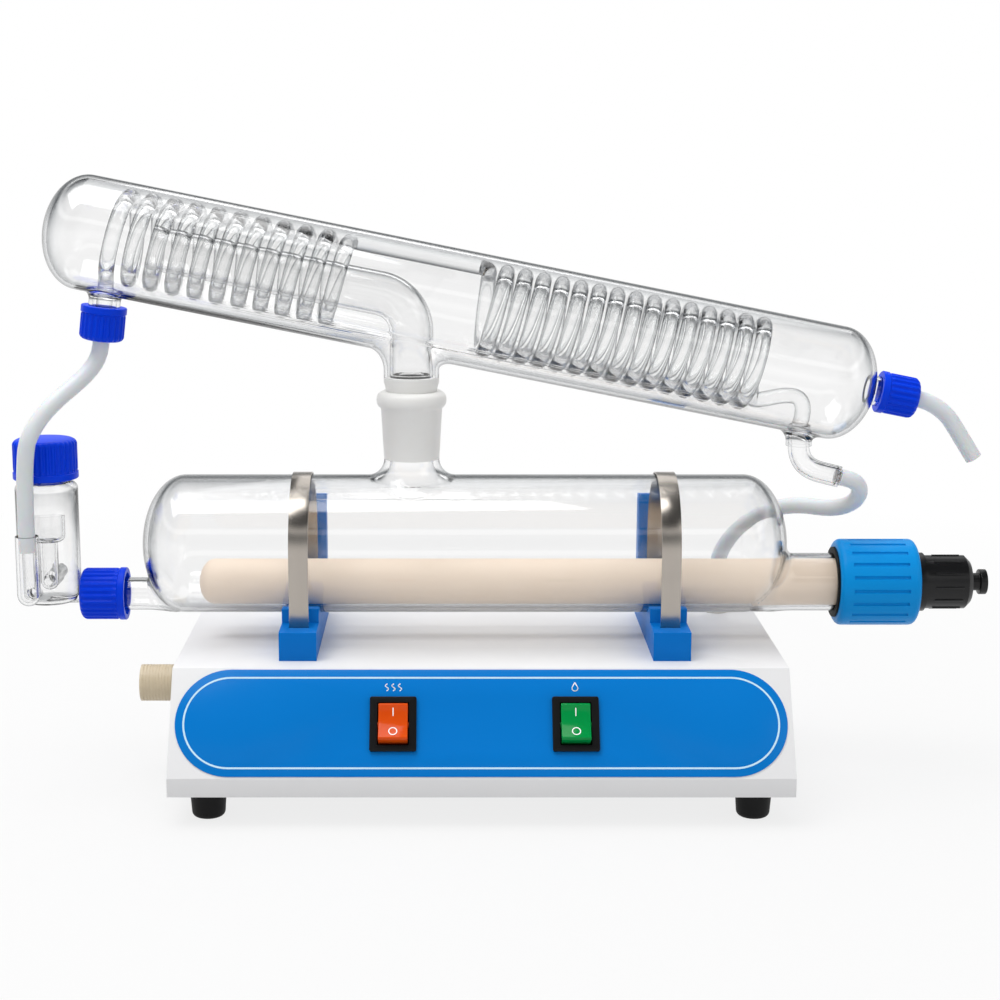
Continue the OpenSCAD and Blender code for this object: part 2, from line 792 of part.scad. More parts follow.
module joint_socket() {
    top_r = ground_r + socket_wall;
    low_r = ground_small_r + socket_wall;
    bead_z = socket_top_z - bead_h / 2;
    outer = concat([[low_r, socket_base_z], [top_r, socket_top_z - bead_h]],
        arc(bead_d / 2 - bead_round, bead_z, bead_round, bead_h / 2 - bead_edge, -70, 70, 6),
        [[top_r - mouth_round, socket_top_z]]);
    inner = [[ground_r, socket_top_z], [ground_small_r, socket_top_z - ground_l],
        [boiler_neck_r, socket_base_z]];
    still() color("gainsboro", 0.85) translate([joint_x, 0, 0]) rotate_extrude()
        polygon(concat(outer, inner));
}

// Heater: a ceramic sheath with a round closed end, and the element on two carriers inside
sheath_wall = 2;
sheath_dome = 9;
sheath_end = 14;
core_d = 15;
core_gap = 6;
carrier_t = 6;
heater_start = neck_end - heater_l;

module heater_sheath() {
    r = heater_d / 2;
    still() color("#ead9c3") translate([heater_start, 0, heater_z]) rotate([0, 90, 0]) difference() {
        rotate_extrude() polygon(concat([[0, 0]], arc(0, sheath_dome, r, sheath_dome, -84, 0, 7),
            [[r, heater_l], [0, heater_l]]));
        translate([0, 0, sheath_end]) cylinder(h = heater_l, r = r - sheath_wall);
    }
}

module heater_core() {
    start = heater_start + sheath_end + core_gap;
    long = neck_end - start;
    still() color("#b9b2a6") union() {
        rod_x([start, 0, heater_z], long, core_d / 2);
        for (x = [start, neck_end - sheath_end - carrier_t])
            rod_x([x, 0, heater_z], carrier_t, heater_d / 2 - sheath_wall - fit_gap);
    }
}

// The nut's front bore takes the neck in its gasket, and its rear bore takes the plug
nut_wall = 4.6;
gasket_out = 1.2;
gasket_r = nut_d / 2 - nut_wall;
nut_round = 3.4;
nut_ribs = 20;
groove_r = 1.1;
groove_in = 7;

module heater_gasket() {
    start = nut_start - gasket_out;
    still() color("#1a1a1c") difference() {
        rod_x([start, 0, heater_z], neck_end - start, gasket_r - fit_gap);
        rod_x([start - cut, 0, heater_z], nut_l, heater_neck_d / 2 + fit_gap);
    }
}

module heater_nut() {
    r = nut_d / 2;
    still() color("#0a8fe0") translate([nut_start, 0, heater_z]) rotate([0, 90, 0]) difference() {
        rotate_extrude() polygon(concat([[0, 0]],
            arc(r - nut_round, nut_round, nut_round, nut_round, -90, 0, 4),
            arc(r - nut_round, nut_l - nut_round, nut_round, nut_round, 0, 90, 4), [[0, nut_l]]));
        translate([0, 0, -cut]) cylinder(h = neck_in_nut + cut, r = gasket_r + fit_gap);
        translate([0, 0, neck_in_nut - cut]) cylinder(h = nut_l, r = plug_d / 2 + fit_gap);
        for (i = [0:nut_ribs - 1]) rotate([0, 0, i * 360 / nut_ribs]) translate([r, 0, groove_in])
            cylinder(h = nut_l - 2 * groove_in, r = groove_r, $fn = 12);
    }
}

// The plug fills the nut's rear bore, with a flange behind the nut and grip ribs
plug_flange_d = 34;
plug_flange_l = 5;
plug_bevel = 3;
plug_ribs = 12;
plug_rib_r = 0.7;
plug_rib_l = 16;
plug_end = nut_start + nut_l + plug_l;

module heater_plug() {
    r = plug_d / 2;
    nut_face = nut_start + nut_l;
    still() color("#222224") union() {
        rod_x([neck_end + slip, 0, heater_z], plug_end - plug_bevel - neck_end - slip, r);
        rod_x([nut_face + slip, 0, heater_z], plug_flange_l - slip, plug_flange_d / 2);
        translate([plug_end - plug_bevel, 0, heater_z]) rotate([0, 90, 0])
            cylinder(h = plug_bevel, r1 = r, r2 = r - plug_bevel);
        for (i = [0:plug_ribs - 1]) translate([nut_face + 2 * plug_flange_l, 0, heater_z])
            rotate([i * 360 / plug_ribs, 0, 0]) translate([0, 0, r]) rotate([0, 90, 0])
                cylinder(h = plug_rib_l, r = plug_rib_r, $fn = 12);
    }
}

// Gland on the plug's end for the heater's lead
gland_d = 14.6;
gland_l = 10;
gland_bead_l = 4;
gland_waist = 2.2;
gland_bore_r = 2.6;
gland_end = plug_end + gland_l;

module plug_gland() {
    still() color("#1a1a1c") difference() {
        union() {
            rod_x([plug_end, 0, heater_z], gland_l, gland_d / 2 - gland_waist);
            rod_x([gland_end - gland_bead_l, 0, heater_z], gland_bead_l, gland_d / 2);
        }
        rod_x([plug_end + gland_waist, 0, heater_z], gland_l, gland_bore_r);
    }
}

// Screw caps: a plain rim at the open end, ribs above it and a round far edge
cap_rim = 4.2;
cap_step = 1;
cap_chamfer = 0.6;
cap_round = 3;
cap_end_t = 2.6;
cap_hole_gap = 0.2;
cap_rib_r = 0.7;

// A cap along Z from its open rim, with a hole in its end unless the hole's diameter is zero
module screw_cap(d, h, thread_d, hole_d, ribs) {
    r = d / 2;
    side = r - cap_step;
    difference() {
        rotate_extrude() polygon(concat([[0, 0], [r, 0], [r, cap_rim - cap_chamfer], [side, cap_rim]],
            arc(side - cap_round, h - cap_round, cap_round, cap_round, 0, 90, 4), [[0, h]]));
        translate([0, 0, -cut]) cylinder(h = h - cap_end_t + cut, r = thread_d / 2 + fit_gap);
        if (hole_d > 0) translate([0, 0, -cut]) cylinder(h = h + 2 * cut, r = hole_d / 2 + cap_hole_gap);
        for (i = [0:ribs - 1]) rotate([0, 0, i * 360 / ribs])
            translate([side + cap_rib_r / 2, 0, cap_rim + cap_step])
                cylinder(h = h - cap_rim - cap_round, r = cap_rib_r, $fn = 8);
    }
}

// A flat ring under a cap's end, round what passes through the cap
module cap_seal(thread_d, hole_d, from, cap_h) {
    t = cap_h - cap_end_t - from - 2 * fit_gap;
    translate([0, 0, from + fit_gap]) difference() {
        cylinder(h = t, r = thread_d / 2 - slip);
        translate([0, 0, -cut]) cylinder(h = t + 2 * cut, r = hole_d / 2 + fit_gap);
    }
}

// Level vessel: a bottle with an arm to the boiler and a side tube for the feed hose
inlet_cap_d = 30.6;
inlet_cap_h = 26;
inlet_cap_ribs = 26;
arm_d = 11;
arm_wall = 1.5;
arm_in = 12;
vessel_gap = 0.8;
vessel_drop = 34;
vessel_wall = 1.8;
vessel_foot_round = 5;
vessel_shoulder_round = 4;
vessel_neck_d = 30;
cap_lift = 4.5;
liner_t = 2.4;
side_tube_d = 13.2;
side_tube_wall = 1.75;
side_shift = 7.2;
side_low = 9;
side_h = 43;
side_link_r = 2.8;
vessel_r = vessel_d / 2;
vessel_x = inlet_cap_x - inlet_cap_h - vessel_gap - vessel_r;
vessel_bottom = boiler_z - vessel_drop;
vessel_shoulder = vessel_bottom + vessel_h;
vessel_cap_z = vessel_shoulder + cap_lift;
neck_top_z = vessel_cap_z + vessel_cap_h - cap_end_t - liner_t - 2 * fit_gap;
side_x = vessel_x - side_shift;
side_y = -sqrt(pow(vessel_r + side_tube_d / 2 + slip, 2) - pow(side_shift, 2));
side_bottom = vessel_bottom + side_low;
side_top = vessel_bottom + side_h;

// The axis of the boiler's inlet nozzle, with Z to the left, out of its mouth
module on_boiler_inlet() {
    still() translate([inlet_cap_x, 0, inlet_z]) rotate([0, -90, 0]) children();
}

module boiler_inlet_cap() {
    color("#0046d8") on_boiler_inlet()
        screw_cap(inlet_cap_d, inlet_cap_h, inlet_thread_d, arm_d, inlet_cap_ribs);
}

module boiler_inlet_seal() {
    color("#b5533a") on_boiler_inlet() cap_seal(inlet_thread_d, arm_d, thread_l, inlet_cap_h);
}

// Half outline of the side tube, closed and round at its lower end
function side_outline(r) = concat([[0, side_bottom - r]], arc(0, side_bottom, r, r, -84, 0, 6),
    [[r, side_top], [0, side_top]]);

// Lies level from the side tube into the vessel
module side_link(r) {
    translate([side_x, side_y, side_bottom]) rotate([0, 0, atan2(-side_y, side_shift)])
        rotate([0, 90, 0]) cylinder(h = vessel_r, r = r);
}

module level_vessel() {
    neck_r = vessel_neck_d / 2;
    w = vessel_wall;
    foot = vessel_foot_round;
    round = vessel_shoulder_round;
    arm_l = inlet_cap_x - arm_in - vessel_x;
    tube_r = side_tube_d / 2 - side_tube_wall;
    outer = concat([[0, vessel_bottom]], arc(vessel_r - foot, vessel_bottom + foot, foot, foot, -90, 0, 5),
        arc(vessel_r - round, vessel_shoulder - round / 2, round, round, 0, 80, 4),
        [[neck_r, vessel_shoulder + round - cut], [neck_r, neck_top_z], [0, neck_top_z]]);
    inner = concat([[0, vessel_bottom + w]],
        arc(vessel_r - foot, vessel_bottom + foot, foot - w, foot - w, -90, 0, 5),
        [[vessel_r - w, vessel_shoulder - round + cut], [neck_r - w, vessel_shoulder + cut],
        [neck_r - w, neck_top_z + cut], [0, neck_top_z + cut]]);
    still() color("aliceblue", 0.35) difference() {
        union() {
            translate([vessel_x, 0, 0]) rotate_extrude() polygon(outer);
            rod_x([vessel_x, 0, inlet_z], arm_l, arm_d / 2);
            translate([side_x, side_y, 0]) rotate_extrude() polygon(side_outline(side_tube_d / 2));
            side_link(side_link_r + side_tube_wall);
        }
        translate([vessel_x, 0, 0]) rotate_extrude() polygon(inner);
        rod_x([vessel_x, 0, inlet_z], arm_l + cut, arm_d / 2 - arm_wall);
        translate([side_x, side_y, 0]) rotate_extrude() polygon(side_outline(tube_r));
        translate([side_x, side_y, side_top - cut]) cylinder(h = 2 * cut, r = tube_r);
        side_link(side_link_r);
        rod_y([vessel_x, vessel_r - w - cut, pipe_z], w + 2 * cut, pipe_r + fit_gap);
    }
}

// The overflow pipe stands in the vessel and leaves through its back as a hose spigot
pipe_r = 5.2;
pipe_wall = 1.3;
pipe_rise = 12;
cup_r = 9.6;
cup_round = 4;
cup_low = 36;
cup_high = 52;
spigot_r = 4.6;
spigot_wall = 1.5;
spigot_l = 22;
pipe_z = vessel_bottom + pipe_rise;
cup_bottom = vessel_bottom + cup_low;
cup_top = vessel_bottom + cup_high;

module overflow_standpipe() {
    bore_r = pipe_r - pipe_wall;
    still() color("aliceblue", 0.35) translate([vessel_x, 0, 0]) difference() {
        union() {
            rotate_extrude() polygon(concat([[0, pipe_z], [pipe_r, pipe_z], [pipe_r, cup_bottom]],
                arc(cup_r - cup_round, cup_bottom + cup_round, cup_round, cup_round, -90, 0, 4),
                [[cup_r, cup_top], [0, cup_top]]));
            translate([0, 0, pipe_z]) sphere(pipe_r, $fn = 48);
            rod_y([0, 0, pipe_z], vessel_r + cut, pipe_r);
            rod_y([0, vessel_r, pipe_z], spigot_l, spigot_r);
        }
        translate([0, 0, pipe_z]) cylinder(h = vessel_h, r = bore_r);
        rotate_extrude() polygon(concat([[0, cup_bottom + pipe_wall]],
            arc(cup_r - cup_round, cup_bottom + cup_round, cup_round - pipe_wall,
                cup_round - pipe_wall, -90, 0, 4),
            [[cup_r - pipe_wall, cup_top + cut], [0, cup_top + cut]]));
        translate([0, 0, pipe_z]) sphere(bore_r, $fn = 48);
        rod_y([0, 0, pipe_z], vessel_r + spigot_l + cut, spigot_r - spigot_wall);
    }
}

module level_cap_liner() {
    still() color("#f2f2f0") translate([vessel_x, 0, neck_top_z + fit_gap])
        cylinder(h = liner_t, r = vessel_neck_d / 2);
}

level_cap_ribs = 34;

module level_cap() {
    still() color("#0046d8") translate([vessel_x, 0, vessel_cap_z])
        screw_cap(vessel_cap_d, vessel_cap_h, vessel_neck_d, 0, level_cap_ribs);
}

// The condenser's own frame: X down along its axis and Z square to it
module on_condenser() {
    translate([joint_x, 0, axis_z]) rotate([0, slope, 0]) children();
}

// A point given along and square to the condenser, in the housing's frame
function placed(s, y, n) =
    [joint_x + s * cos(slope) + n * sin(slope), y, axis_z - s * sin(slope) + n * cos(slope)];

// The feed nozzle leans out a little, and Z runs down out of its mouth
feed_lean = 7;
feed_place = 173.4;
feed_drop = 2.7;
feed_thread_d = 18;
feed_neck_l = 3.6;
feed_cap_d = 26;
feed_cap_h = 19.5;
feed_cap_ribs = 22;
jacket_r = condenser_d / 2;
feed_top_x = joint_x - feed_place;
feed_top_z = axis_z + feed_place * tan(slope) - jacket_r / cos(slope) - feed_drop;

module on_feed() {
    translate([feed_top_x, 0, feed_top_z]) rotate([180, 0, 0]) rotate([0, -feed_lean, 0]) children();
}

// A point down the feed nozzle's axis
function below_feed(d) = [feed_top_x - d * sin(feed_lean), 0, feed_top_z - d * cos(feed_lean)];

// The outlet nozzle runs on along the condenser's axis
outlet_thread_d = 17;
outlet_cap_d = 24;
outlet_cap_h = 22;
outlet_cap_ribs = 20;
outlet_gap = 3;
nozzle_wall = 2;
nozzle_in = 12;
outlet_start = lower_l + outlet_gap;

module on_outlet() {
    on_condenser() translate([outlet_start, 0, 0]) rotate([0, 90, 0]) children();
}

// Glass elbow under the condenser, fused in a boss, and the nipple that its hose goes on
elbow_place = 222.2;
elbow_d = 12.4;
elbow_boss = 1.6;
elbow_boss_l = 6;
elbow_bore_r = 4.5;
elbow_in = 73;
elbow_low = 84;
nipple_l = 6;
neck_wall = 1.9;
neck_l = 45;
elbow_x = joint_x + elbow_place;
neck_low_z = axis_z - neck_l;

module condenser_jacket() {
    w = condenser_wall;
    still() color("aliceblue", 0.35) difference() {
        union() {
            on_condenser() lying(jacket_r, -upper_l, lower_l, condenser_dome);
            translate([joint_x, 0, axis_z]) rotate([180, 0, 0]) rotate_extrude()
                polygon(flared(neck_d / 2, jacket_r - fuse_sink, neck_l, fuse_flare));
            on_feed() translate([0, 0, -nozzle_in])
                cylinder(h = nozzle_in + feed_neck_l + thread_l - cut, r = feed_thread_d / 2);
            on_outlet() translate([0, 0, -nozzle_in])
                cylinder(h = nozzle_in + thread_l, r = outlet_thread_d / 2);
            translate([elbow_x, 0, axis_z - elbow_low])
                cylinder(h = 2 * nozzle_in, r = elbow_d / 2 + elbow_boss);
        }
        on_condenser() lying(jacket_r - w, -upper_l + w, lower_l - w, condenser_dome - w);
        translate([joint_x, 0, neck_low_z - cut]) cylinder(h = neck_l, r = neck_d / 2 - neck_wall);
        on_feed() translate([0, 0, -2 * nozzle_in])
            cylinder(h = 4 * thread_l, r = feed_thread_d / 2 - nozzle_wall);
        on_outlet() translate([0, 0, -2 * nozzle_in])
            cylinder(h = 4 * thread_l, r = outlet_thread_d / 2 - nozzle_wall);
        translate([elbow_x, 0, axis_z - elbow_low - cut])
            cylinder(h = 3 * nozzle_in, r = elbow_d / 2 + fit_gap);
    }
}

// The ground cone hangs from the condenser's neck into the socket, and a shelf in it carries the steam tube
cone_wall = 2;
cone_waist = 0.8;
cone_rise = 5;
steam_wall = 1.6;
steam_r = steam_d / 2;

module joint_cone() {
    neck_r = neck_d / 2;
    low_z = socket_top_z - ground_l;
    top = neck_low_z - fit_gap;
    shelf_r = steam_r - steam_wall;
    outer = [[ground_small_r - fit_gap, low_z], [ground_r - fit_gap, socket_top_z],
        [neck_r - cone_waist, socket_top_z + cone_rise / 2], [neck_r, socket_top_z + cone_rise],
        [neck_r, top]];
    inner = [[shelf_r, top], [shelf_r, top - cone_wall], [neck_r - neck_wall, top - 2 * cone_wall],
        [neck_r - neck_wall, socket_top_z + cone_rise], [ground_r - cone_wall, socket_top_z],
        [ground_small_r - cone_wall, low_z]];
    still() color("gainsboro", 0.8) translate([joint_x, 0, 0]) rotate_extrude() polygon(concat(outer, inner));
}

// The steam tube rises from the cone, bends to the left and runs up inside the upper coil
steam_bend = 22;
steam_sink = 1;
steam_run = 130;
steam_turn = 90 - slope;
steam_bend_z = axis_z + steam_bend * (1 - sin(slope)) * tan(slope)
    - steam_sink / cos(slope) - steam_bend * cos(slope);
function steam_arc(a) = [joint_x - steam_bend + steam_bend * cos(a), 0, steam_bend_z + steam_bend * sin(a)];
steam_far = steam_arc(steam_turn) + steam_run * [-cos(slope), 0, sin(slope)];
steam_route = concat([[joint_x, 0, neck_low_z]], [for (i = [0:8]) steam_arc(steam_turn * i / 8)],
    [steam_far]);

module steam_tube() {
    still() color("aliceblue", 0.35) tube(steam_route, steam_r, steam_r - steam_wall, 20, [0, 1, 0]);
}

// A coil's points from one angle to another, starting at a place along the condenser
coil_lift = 1.5;
coil_steps = 24;
function helix(s0, pitch, a0, a1) = let (steps = ceil((a1 - a0) * coil_steps / 360))
    [for (i = [0:steps]) let (a = a0 + (a1 - a0) * i / steps)
        placed(s0 + pitch * (a - a0) / 360, -coil_r * cos(a), coil_lift + coil_r * sin(a))];

// The upper coil starts up out of the feed nozzle and ends in the straight run to the lower coil
upper_s = -170;
upper_a0 = -70;
upper_a1 = 3650;
link_in = 5;
link_l = 72;
coil_sink = 8;
upper_turns = (upper_a1 - upper_a0) / 360;
link_s0 = upper_s + upper_pitch * upper_turns + link_in;
link_s1 = link_s0 + link_l;
link_n = coil_lift + coil_r;
upper_coil_points = helix(upper_s, upper_pitch, upper_a0, upper_a1);
upper_first = upper_coil_points[0];
upper_last = upper_coil_points[len(upper_coil_points) - 1];
upper_first_way = heading(upper_coil_points, 0);
upper_last_way = heading(upper_coil_points, len(upper_coil_points) - 1);
upper_route = concat([below_feed(coil_sink), below_feed(0)],
    bend(below_feed(0), below_feed(-coil_tube), upper_first - coil_tube * upper_first_way, upper_first, 5),
    [for (i = [1:len(upper_coil_points) - 1]) upper_coil_points[i]],
    bend(upper_last, upper_last + link_in * upper_last_way, placed(link_s0 - link_in, 0, link_n),
        placed(link_s0, 0, link_n), 5),
    [placed(link_s1, 0, link_n)]);

module upper_coil() {
    still() color("aliceblue", 0.6) tube(upper_route, coil_tube / 2, 0, 6, [0, 1, 0]);
}

// The lower coil starts at the straight run and ends down in the elbow
lower_a0 = 130;
lower_a1 = 5640;
coil_swing = 12;
coil_arch = 32;
joint_lead = 2;
lower_coil_points = helix(link_s1 + link_in, lower_pitch, lower_a0, lower_a1);
lower_first = lower_coil_points[0];
lower_last = lower_coil_points[len(lower_coil_points) - 1];
lower_first_way = heading(lower_coil_points, 0);
lower_last_way = heading(lower_coil_points, len(lower_coil_points) - 1);
lower_start = placed(link_s1 + fit_gap, 0, link_n);
lower_lead = placed(link_s1 + fit_gap + joint_lead, 0, link_n);
lower_foot = [elbow_x, 0, axis_z - elbow_in];
lower_route = concat([lower_start, lower_lead],
    bend(lower_lead, placed(link_s1 + link_in, 0, link_n), lower_first - link_in * lower_first_way,
        lower_first, 5),
    [for (i = [1:len(lower_coil_points) - 1]) lower_coil_points[i]],
    bend(lower_last, lower_last + coil_swing * lower_last_way, lower_foot + [coil_tube, 0, coil_arch],
        lower_foot, 12));

module lower_coil() {
    still() color("aliceblue", 0.6) tube(lower_route, coil_tube / 2, 0, 6, [0, 1, 0]);
}

// Least distance between one coil's points that are at least half a turn apart, less the tube
function least_gap(p) = min([for (i = [0:3:len(p) - 1]) for (j = [i + coil_steps / 2:i + coil_steps * 2])
    if (j < len(p)) norm(p[i] - p[j])]) - coil_tube;
echo(least_gap_upper_coil = least_gap(upper_route), least_gap_lower_coil = least_gap(lower_route));

// The elbow turns to the right, and steps down to a nipple inside the hose
elbow_out = 24;
elbow_drop = 103;
elbow_neck_x = 14;
elbow_neck_drop = 100.5;
elbow_swing = 12;
elbow_face = [elbow_x + elbow_out, 0, axis_z - elbow_drop];
elbow_neck = [elbow_x + elbow_neck_x, 0, axis_z - elbow_neck_drop];
elbow_turn = [elbow_x, 0, axis_z - elbow_low];
elbow_way = unit(elbow_face - elbow_neck);
elbow_route = concat([lower_foot - [0, 0, fit_gap], elbow_turn],
    bend(elbow_turn, elbow_turn - [0, 0, elbow_swing], elbow_neck - elbow_way * elbow_swing / 2,
        elbow_neck, 7),
    [elbow_face, elbow_face + elbow_way * fit_gap, elbow_face + elbow_way * nipple_l]);
elbow_rings = len(elbow_route);
nipple_r = hose_bore / 2;
elbow_radii = [for (i = [0:elbow_rings - 1]) i < elbow_rings - 2 ? elbow_d / 2 : nipple_r];
elbow_bores = [for (i = [0:elbow_rings - 1]) i < elbow_rings - 3 ? elbow_bore_r : nipple_r / 2];

module water_elbow() {
    still() color("aliceblue", 0.35) tube(elbow_route, elbow_radii, elbow_bores, 20, [0, 1, 0]);
}

module feed_nozzle_cap() {
    still() color("#0046d8") on_feed() translate([0, 0, feed_neck_l])
        screw_cap(feed_cap_d, feed_cap_h, feed_thread_d, hose_d, feed_cap_ribs);
}

module feed_nozzle_seal() {
    still() color("#b5533a") on_feed() translate([0, 0, feed_neck_l])
        cap_seal(feed_thread_d, hose_d, thread_l - cut, feed_cap_h);
}

module outlet_cap() {
    still() color("#0046d8") on_outlet()
        screw_cap(outlet_cap_d, outlet_cap_h, outlet_thread_d, hose_d, outlet_cap_ribs);
}

module outlet_seal() {
    still() color("#b5533a") on_outlet() cap_seal(outlet_thread_d, hose_d, thread_l, outlet_cap_h);
}

// The feed hose hangs from the feed nozzle, past the front of the vessel's cap, into the side tube
feed_straight = 26;
feed_swing = 22;
feed_over = 30;
feed_sway_x = 14;
feed_sway_y = 3;
feed_pass_x = 3;
feed_pass_y = 1;
side_sink = 9;
vessel_cap_top = vessel_cap_z + vessel_cap_h;
feed_pass = [side_x + feed_pass_x, side_y - feed_pass_y, vessel_cap_top + 2 * feed_pass_y];
feed_route = concat([below_feed(coil_sink + fit_gap), below_feed(feed_straight)],
    bend(below_feed(feed_straight), below_feed(feed_straight + feed_swing),
        [side_x + feed_sway_x, side_y + feed_sway_y, vessel_cap_top + feed_over], feed_pass, 12),
    bend(feed_pass, [side_x, side_y - feed_pass_y, vessel_cap_top - side_sink],
        [side_x, side_y, side_top + 2 * side_sink], [side_x, side_y, side_top], 6),
    [[side_x, side_y, side_top - side_sink]]);

module feed_hose() {
    still() color("ghostwhite") tube(feed_route, hose_d / 2, hose_bore / 2, 12, [0, 1, 0]);
}

// The water hose turns back under the elbow, passes behind the boiler's end and goes down to the barb
water_lead = 6;
water_swing = 12;
water_turn_x = 16;
water_turn_y = 10;
water_turn_drop = 24;
water_back_drop = 23;
water_run_drop = 22;
water_back_x = 8;
water_back_y = 28;
water_run_x = 38;
water_run_y = 51;
water_rise = 22;
water_near = elbow_face + elbow_way * water_lead;
water_back = elbow_face + [-water_back_x, water_back_y, -water_back_drop];
water_foot = [bulk_x, bulk_y, top_z + bulk_flange_h];
water_route = concat([elbow_face + elbow_way * fit_gap * 2, water_near],
    bend(water_near, water_near + elbow_way * water_swing,
        elbow_face + [water_turn_x, water_turn_y, -water_turn_drop], water_back, 9),
    bend(water_back, elbow_face + [-water_run_x, water_run_y, -water_run_drop],
        water_foot + [0, 0, 2 * water_rise], water_foot + [0, 0, water_rise], 12),
    [water_foot + [0, 0, fit_gap]]);

module water_hose() {
    still() color("ghostwhite") tube(water_route, hose_d / 2, hose_bore / 2 + fit_gap, 12, [0, 1, 0]);
}

// The distillate hose leaves its cap and bends down
distillate_route = [[236, 0, 223], [251, 0, 220], [257, 0, 218], [263, 0, 214.5], [268, 0, 210],
    [272, 0, 204.5], [278, 0, 195.3], [284, 0, 186]];

module distillate_hose() {
    still() color("ghostwhite") tube(distillate_route, hose_d / 2, hose_bore / 2, 12, [0, 1, 0]);
}

// Middle of the still over the bench
base_x = -(vessel_x - vessel_cap_d / 2 + gland_end) / 2;
base_y = (front_reach - back_reach - panel_t) / 2;

base_housing();
base_plate();
rubber_feet();
foot_screws();
foot_nuts();
plate_screws();
front_label();
heat_switch_body();
heat_rocker();
heat_switch_terminals();
power_switch_body();
power_rocker();
power_switch_terminals();
inlet_valve();
valve_coil();
inlet_flange();
inlet_washer();
valve_hose();
hose_bulkhead();
terminal_block();
safety_thermostat();
mains_inlet();
heater_socket();
clamp_support_left();
clamp_support_right();
clamp_strap_left();
clamp_strap_right();
support_screws();
boiler_vessel();
joint_socket();
heater_sheath();
heater_core();
heater_gasket();
heater_nut();
heater_plug();
plug_gland();
boiler_inlet_seal();
boiler_inlet_cap();
level_vessel();
overflow_standpipe();
level_cap_liner();
level_cap();
condenser_jacket();
joint_cone();
steam_tube();
upper_coil();
lower_coil();
water_elbow();
feed_nozzle_seal();
feed_nozzle_cap();
outlet_seal();
outlet_cap();
feed_hose();
water_hose();
distillate_hose();
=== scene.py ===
import math
import bmesh
import bpy
from mathutils import Matrix, Vector


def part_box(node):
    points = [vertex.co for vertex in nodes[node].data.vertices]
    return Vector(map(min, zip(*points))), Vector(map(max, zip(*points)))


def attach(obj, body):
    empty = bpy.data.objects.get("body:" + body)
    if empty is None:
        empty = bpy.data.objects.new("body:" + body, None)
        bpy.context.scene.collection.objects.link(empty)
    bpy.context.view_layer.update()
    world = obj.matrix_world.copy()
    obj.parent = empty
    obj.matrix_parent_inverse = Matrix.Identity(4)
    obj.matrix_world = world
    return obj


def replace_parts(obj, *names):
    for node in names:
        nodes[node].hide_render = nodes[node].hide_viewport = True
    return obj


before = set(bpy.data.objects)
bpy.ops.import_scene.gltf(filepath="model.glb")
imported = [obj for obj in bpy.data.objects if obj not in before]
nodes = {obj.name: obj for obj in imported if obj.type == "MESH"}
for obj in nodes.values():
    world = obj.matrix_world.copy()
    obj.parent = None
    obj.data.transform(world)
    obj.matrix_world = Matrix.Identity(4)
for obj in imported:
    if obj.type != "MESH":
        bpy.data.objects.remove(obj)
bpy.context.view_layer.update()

# Place of the still in the frame. Every length below is in millimetres, from the middle of the
# housing (X), the boiler's axis (Y) and the bench (Z), and this matrix turns it into metres.
housing_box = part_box("base_housing")
boiler_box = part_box("boiler_vessel")
still = Matrix.Translation(((housing_box[0][0] + housing_box[1][0]) / 2,
    (boiler_box[0][1] + boiler_box[1][1]) / 2, 0)) @ Matrix.Scale(0.001, 4)


# Camera: a short telephoto lens a metre in front of the still, looking 11 degrees down. Its height and
# lens are those that put the housing, the boiler and the condenser where the photograph shows them.
camera = bpy.data.objects.new("camera", bpy.data.cameras.new("camera"))
camera.location = still @ Vector((-17, -1077.5, 368.4))
look_down = 10.874
camera.rotation_euler = (math.radians(90 - look_down), 0, 0)
camera.data.lens = 68.4
camera.data.sensor_width = 36
camera.data.shift_x = 0.05
camera.data.clip_start = 0.05
bpy.context.scene.collection.objects.link(camera)
bpy.context.scene.camera = camera
bpy.context.scene.view_settings.view_transform = "Standard"


# Studio: a white floor that runs into a white surrounding, and soft light from large lamps.
# Glass and metal see the white surrounding near the horizon, a strip of lights above it and a
# dark ceiling, and the light that falls on the still is weaker from the sides than from above.
def put(tree, kind, inputs=(), **settings):
    """Adds a node with its settings, its values and its links."""
    node = tree.nodes.new(kind)
    for name, value in settings.items():
        setattr(node, name, value)
    for key, value in dict(inputs).items():
        if isinstance(value, bpy.types.NodeSocket):
            tree.links.new(value, node.inputs[key])
        else:
            node.inputs[key].default_value = value
    return node


def linear(code):
    """Turns an sRGB hex colour to a linear one with full alpha."""
    parts = [int(code[i:i + 2], 16) / 255 for i in (1, 3, 5)]
    return [v / 12.92 if v <= 0.04045 else ((v + 0.055) / 1.055) ** 2.4 for v in parts] + [1.0]


def looked_at(tree):
    """One where the camera sees a thing, also in glass and metal, and nought where it only gives light."""
    path = put(tree, "ShaderNodeLightPath")
    seen = put(tree, "ShaderNodeMath", {0: path.outputs["Is Camera Ray"], 1: path.outputs["Is Glossy Ray"]},
        operation="MAXIMUM")
    seen = put(tree, "ShaderNodeMath", {0: seen.outputs[0], 1: path.outputs["Is Transmission Ray"]},
        operation="MAXIMUM")
    return seen.outputs[0]


world = bpy.data.worlds.new("studio")
bpy.context.scene.world = world
world.use_nodes = True
sky = world.node_tree
sky.nodes.clear()
looked_up = put(sky, "ShaderNodeSeparateXYZ", {0: put(sky, "ShaderNodeTexCoord").outputs["Generated"]})
ceiling = put(sky, "ShaderNodeValToRGB", {0: looked_up.outputs["Z"]})
stops = ceiling.color_ramp.elements
stops[0].position, stops[0].color = 0.06, linear("#FFFFFF")
stops[1].position, stops[1].color = 0.9, linear("#4A4C4E")
for height, shade in ((0.28, "#85888A"), (0.42, "#6A6D6F"), (0.45, "#FFFFFF"), (0.55, "#FFFFFF"),
        (0.59, "#37393B")):
    stops.new(height).color = linear(shade)
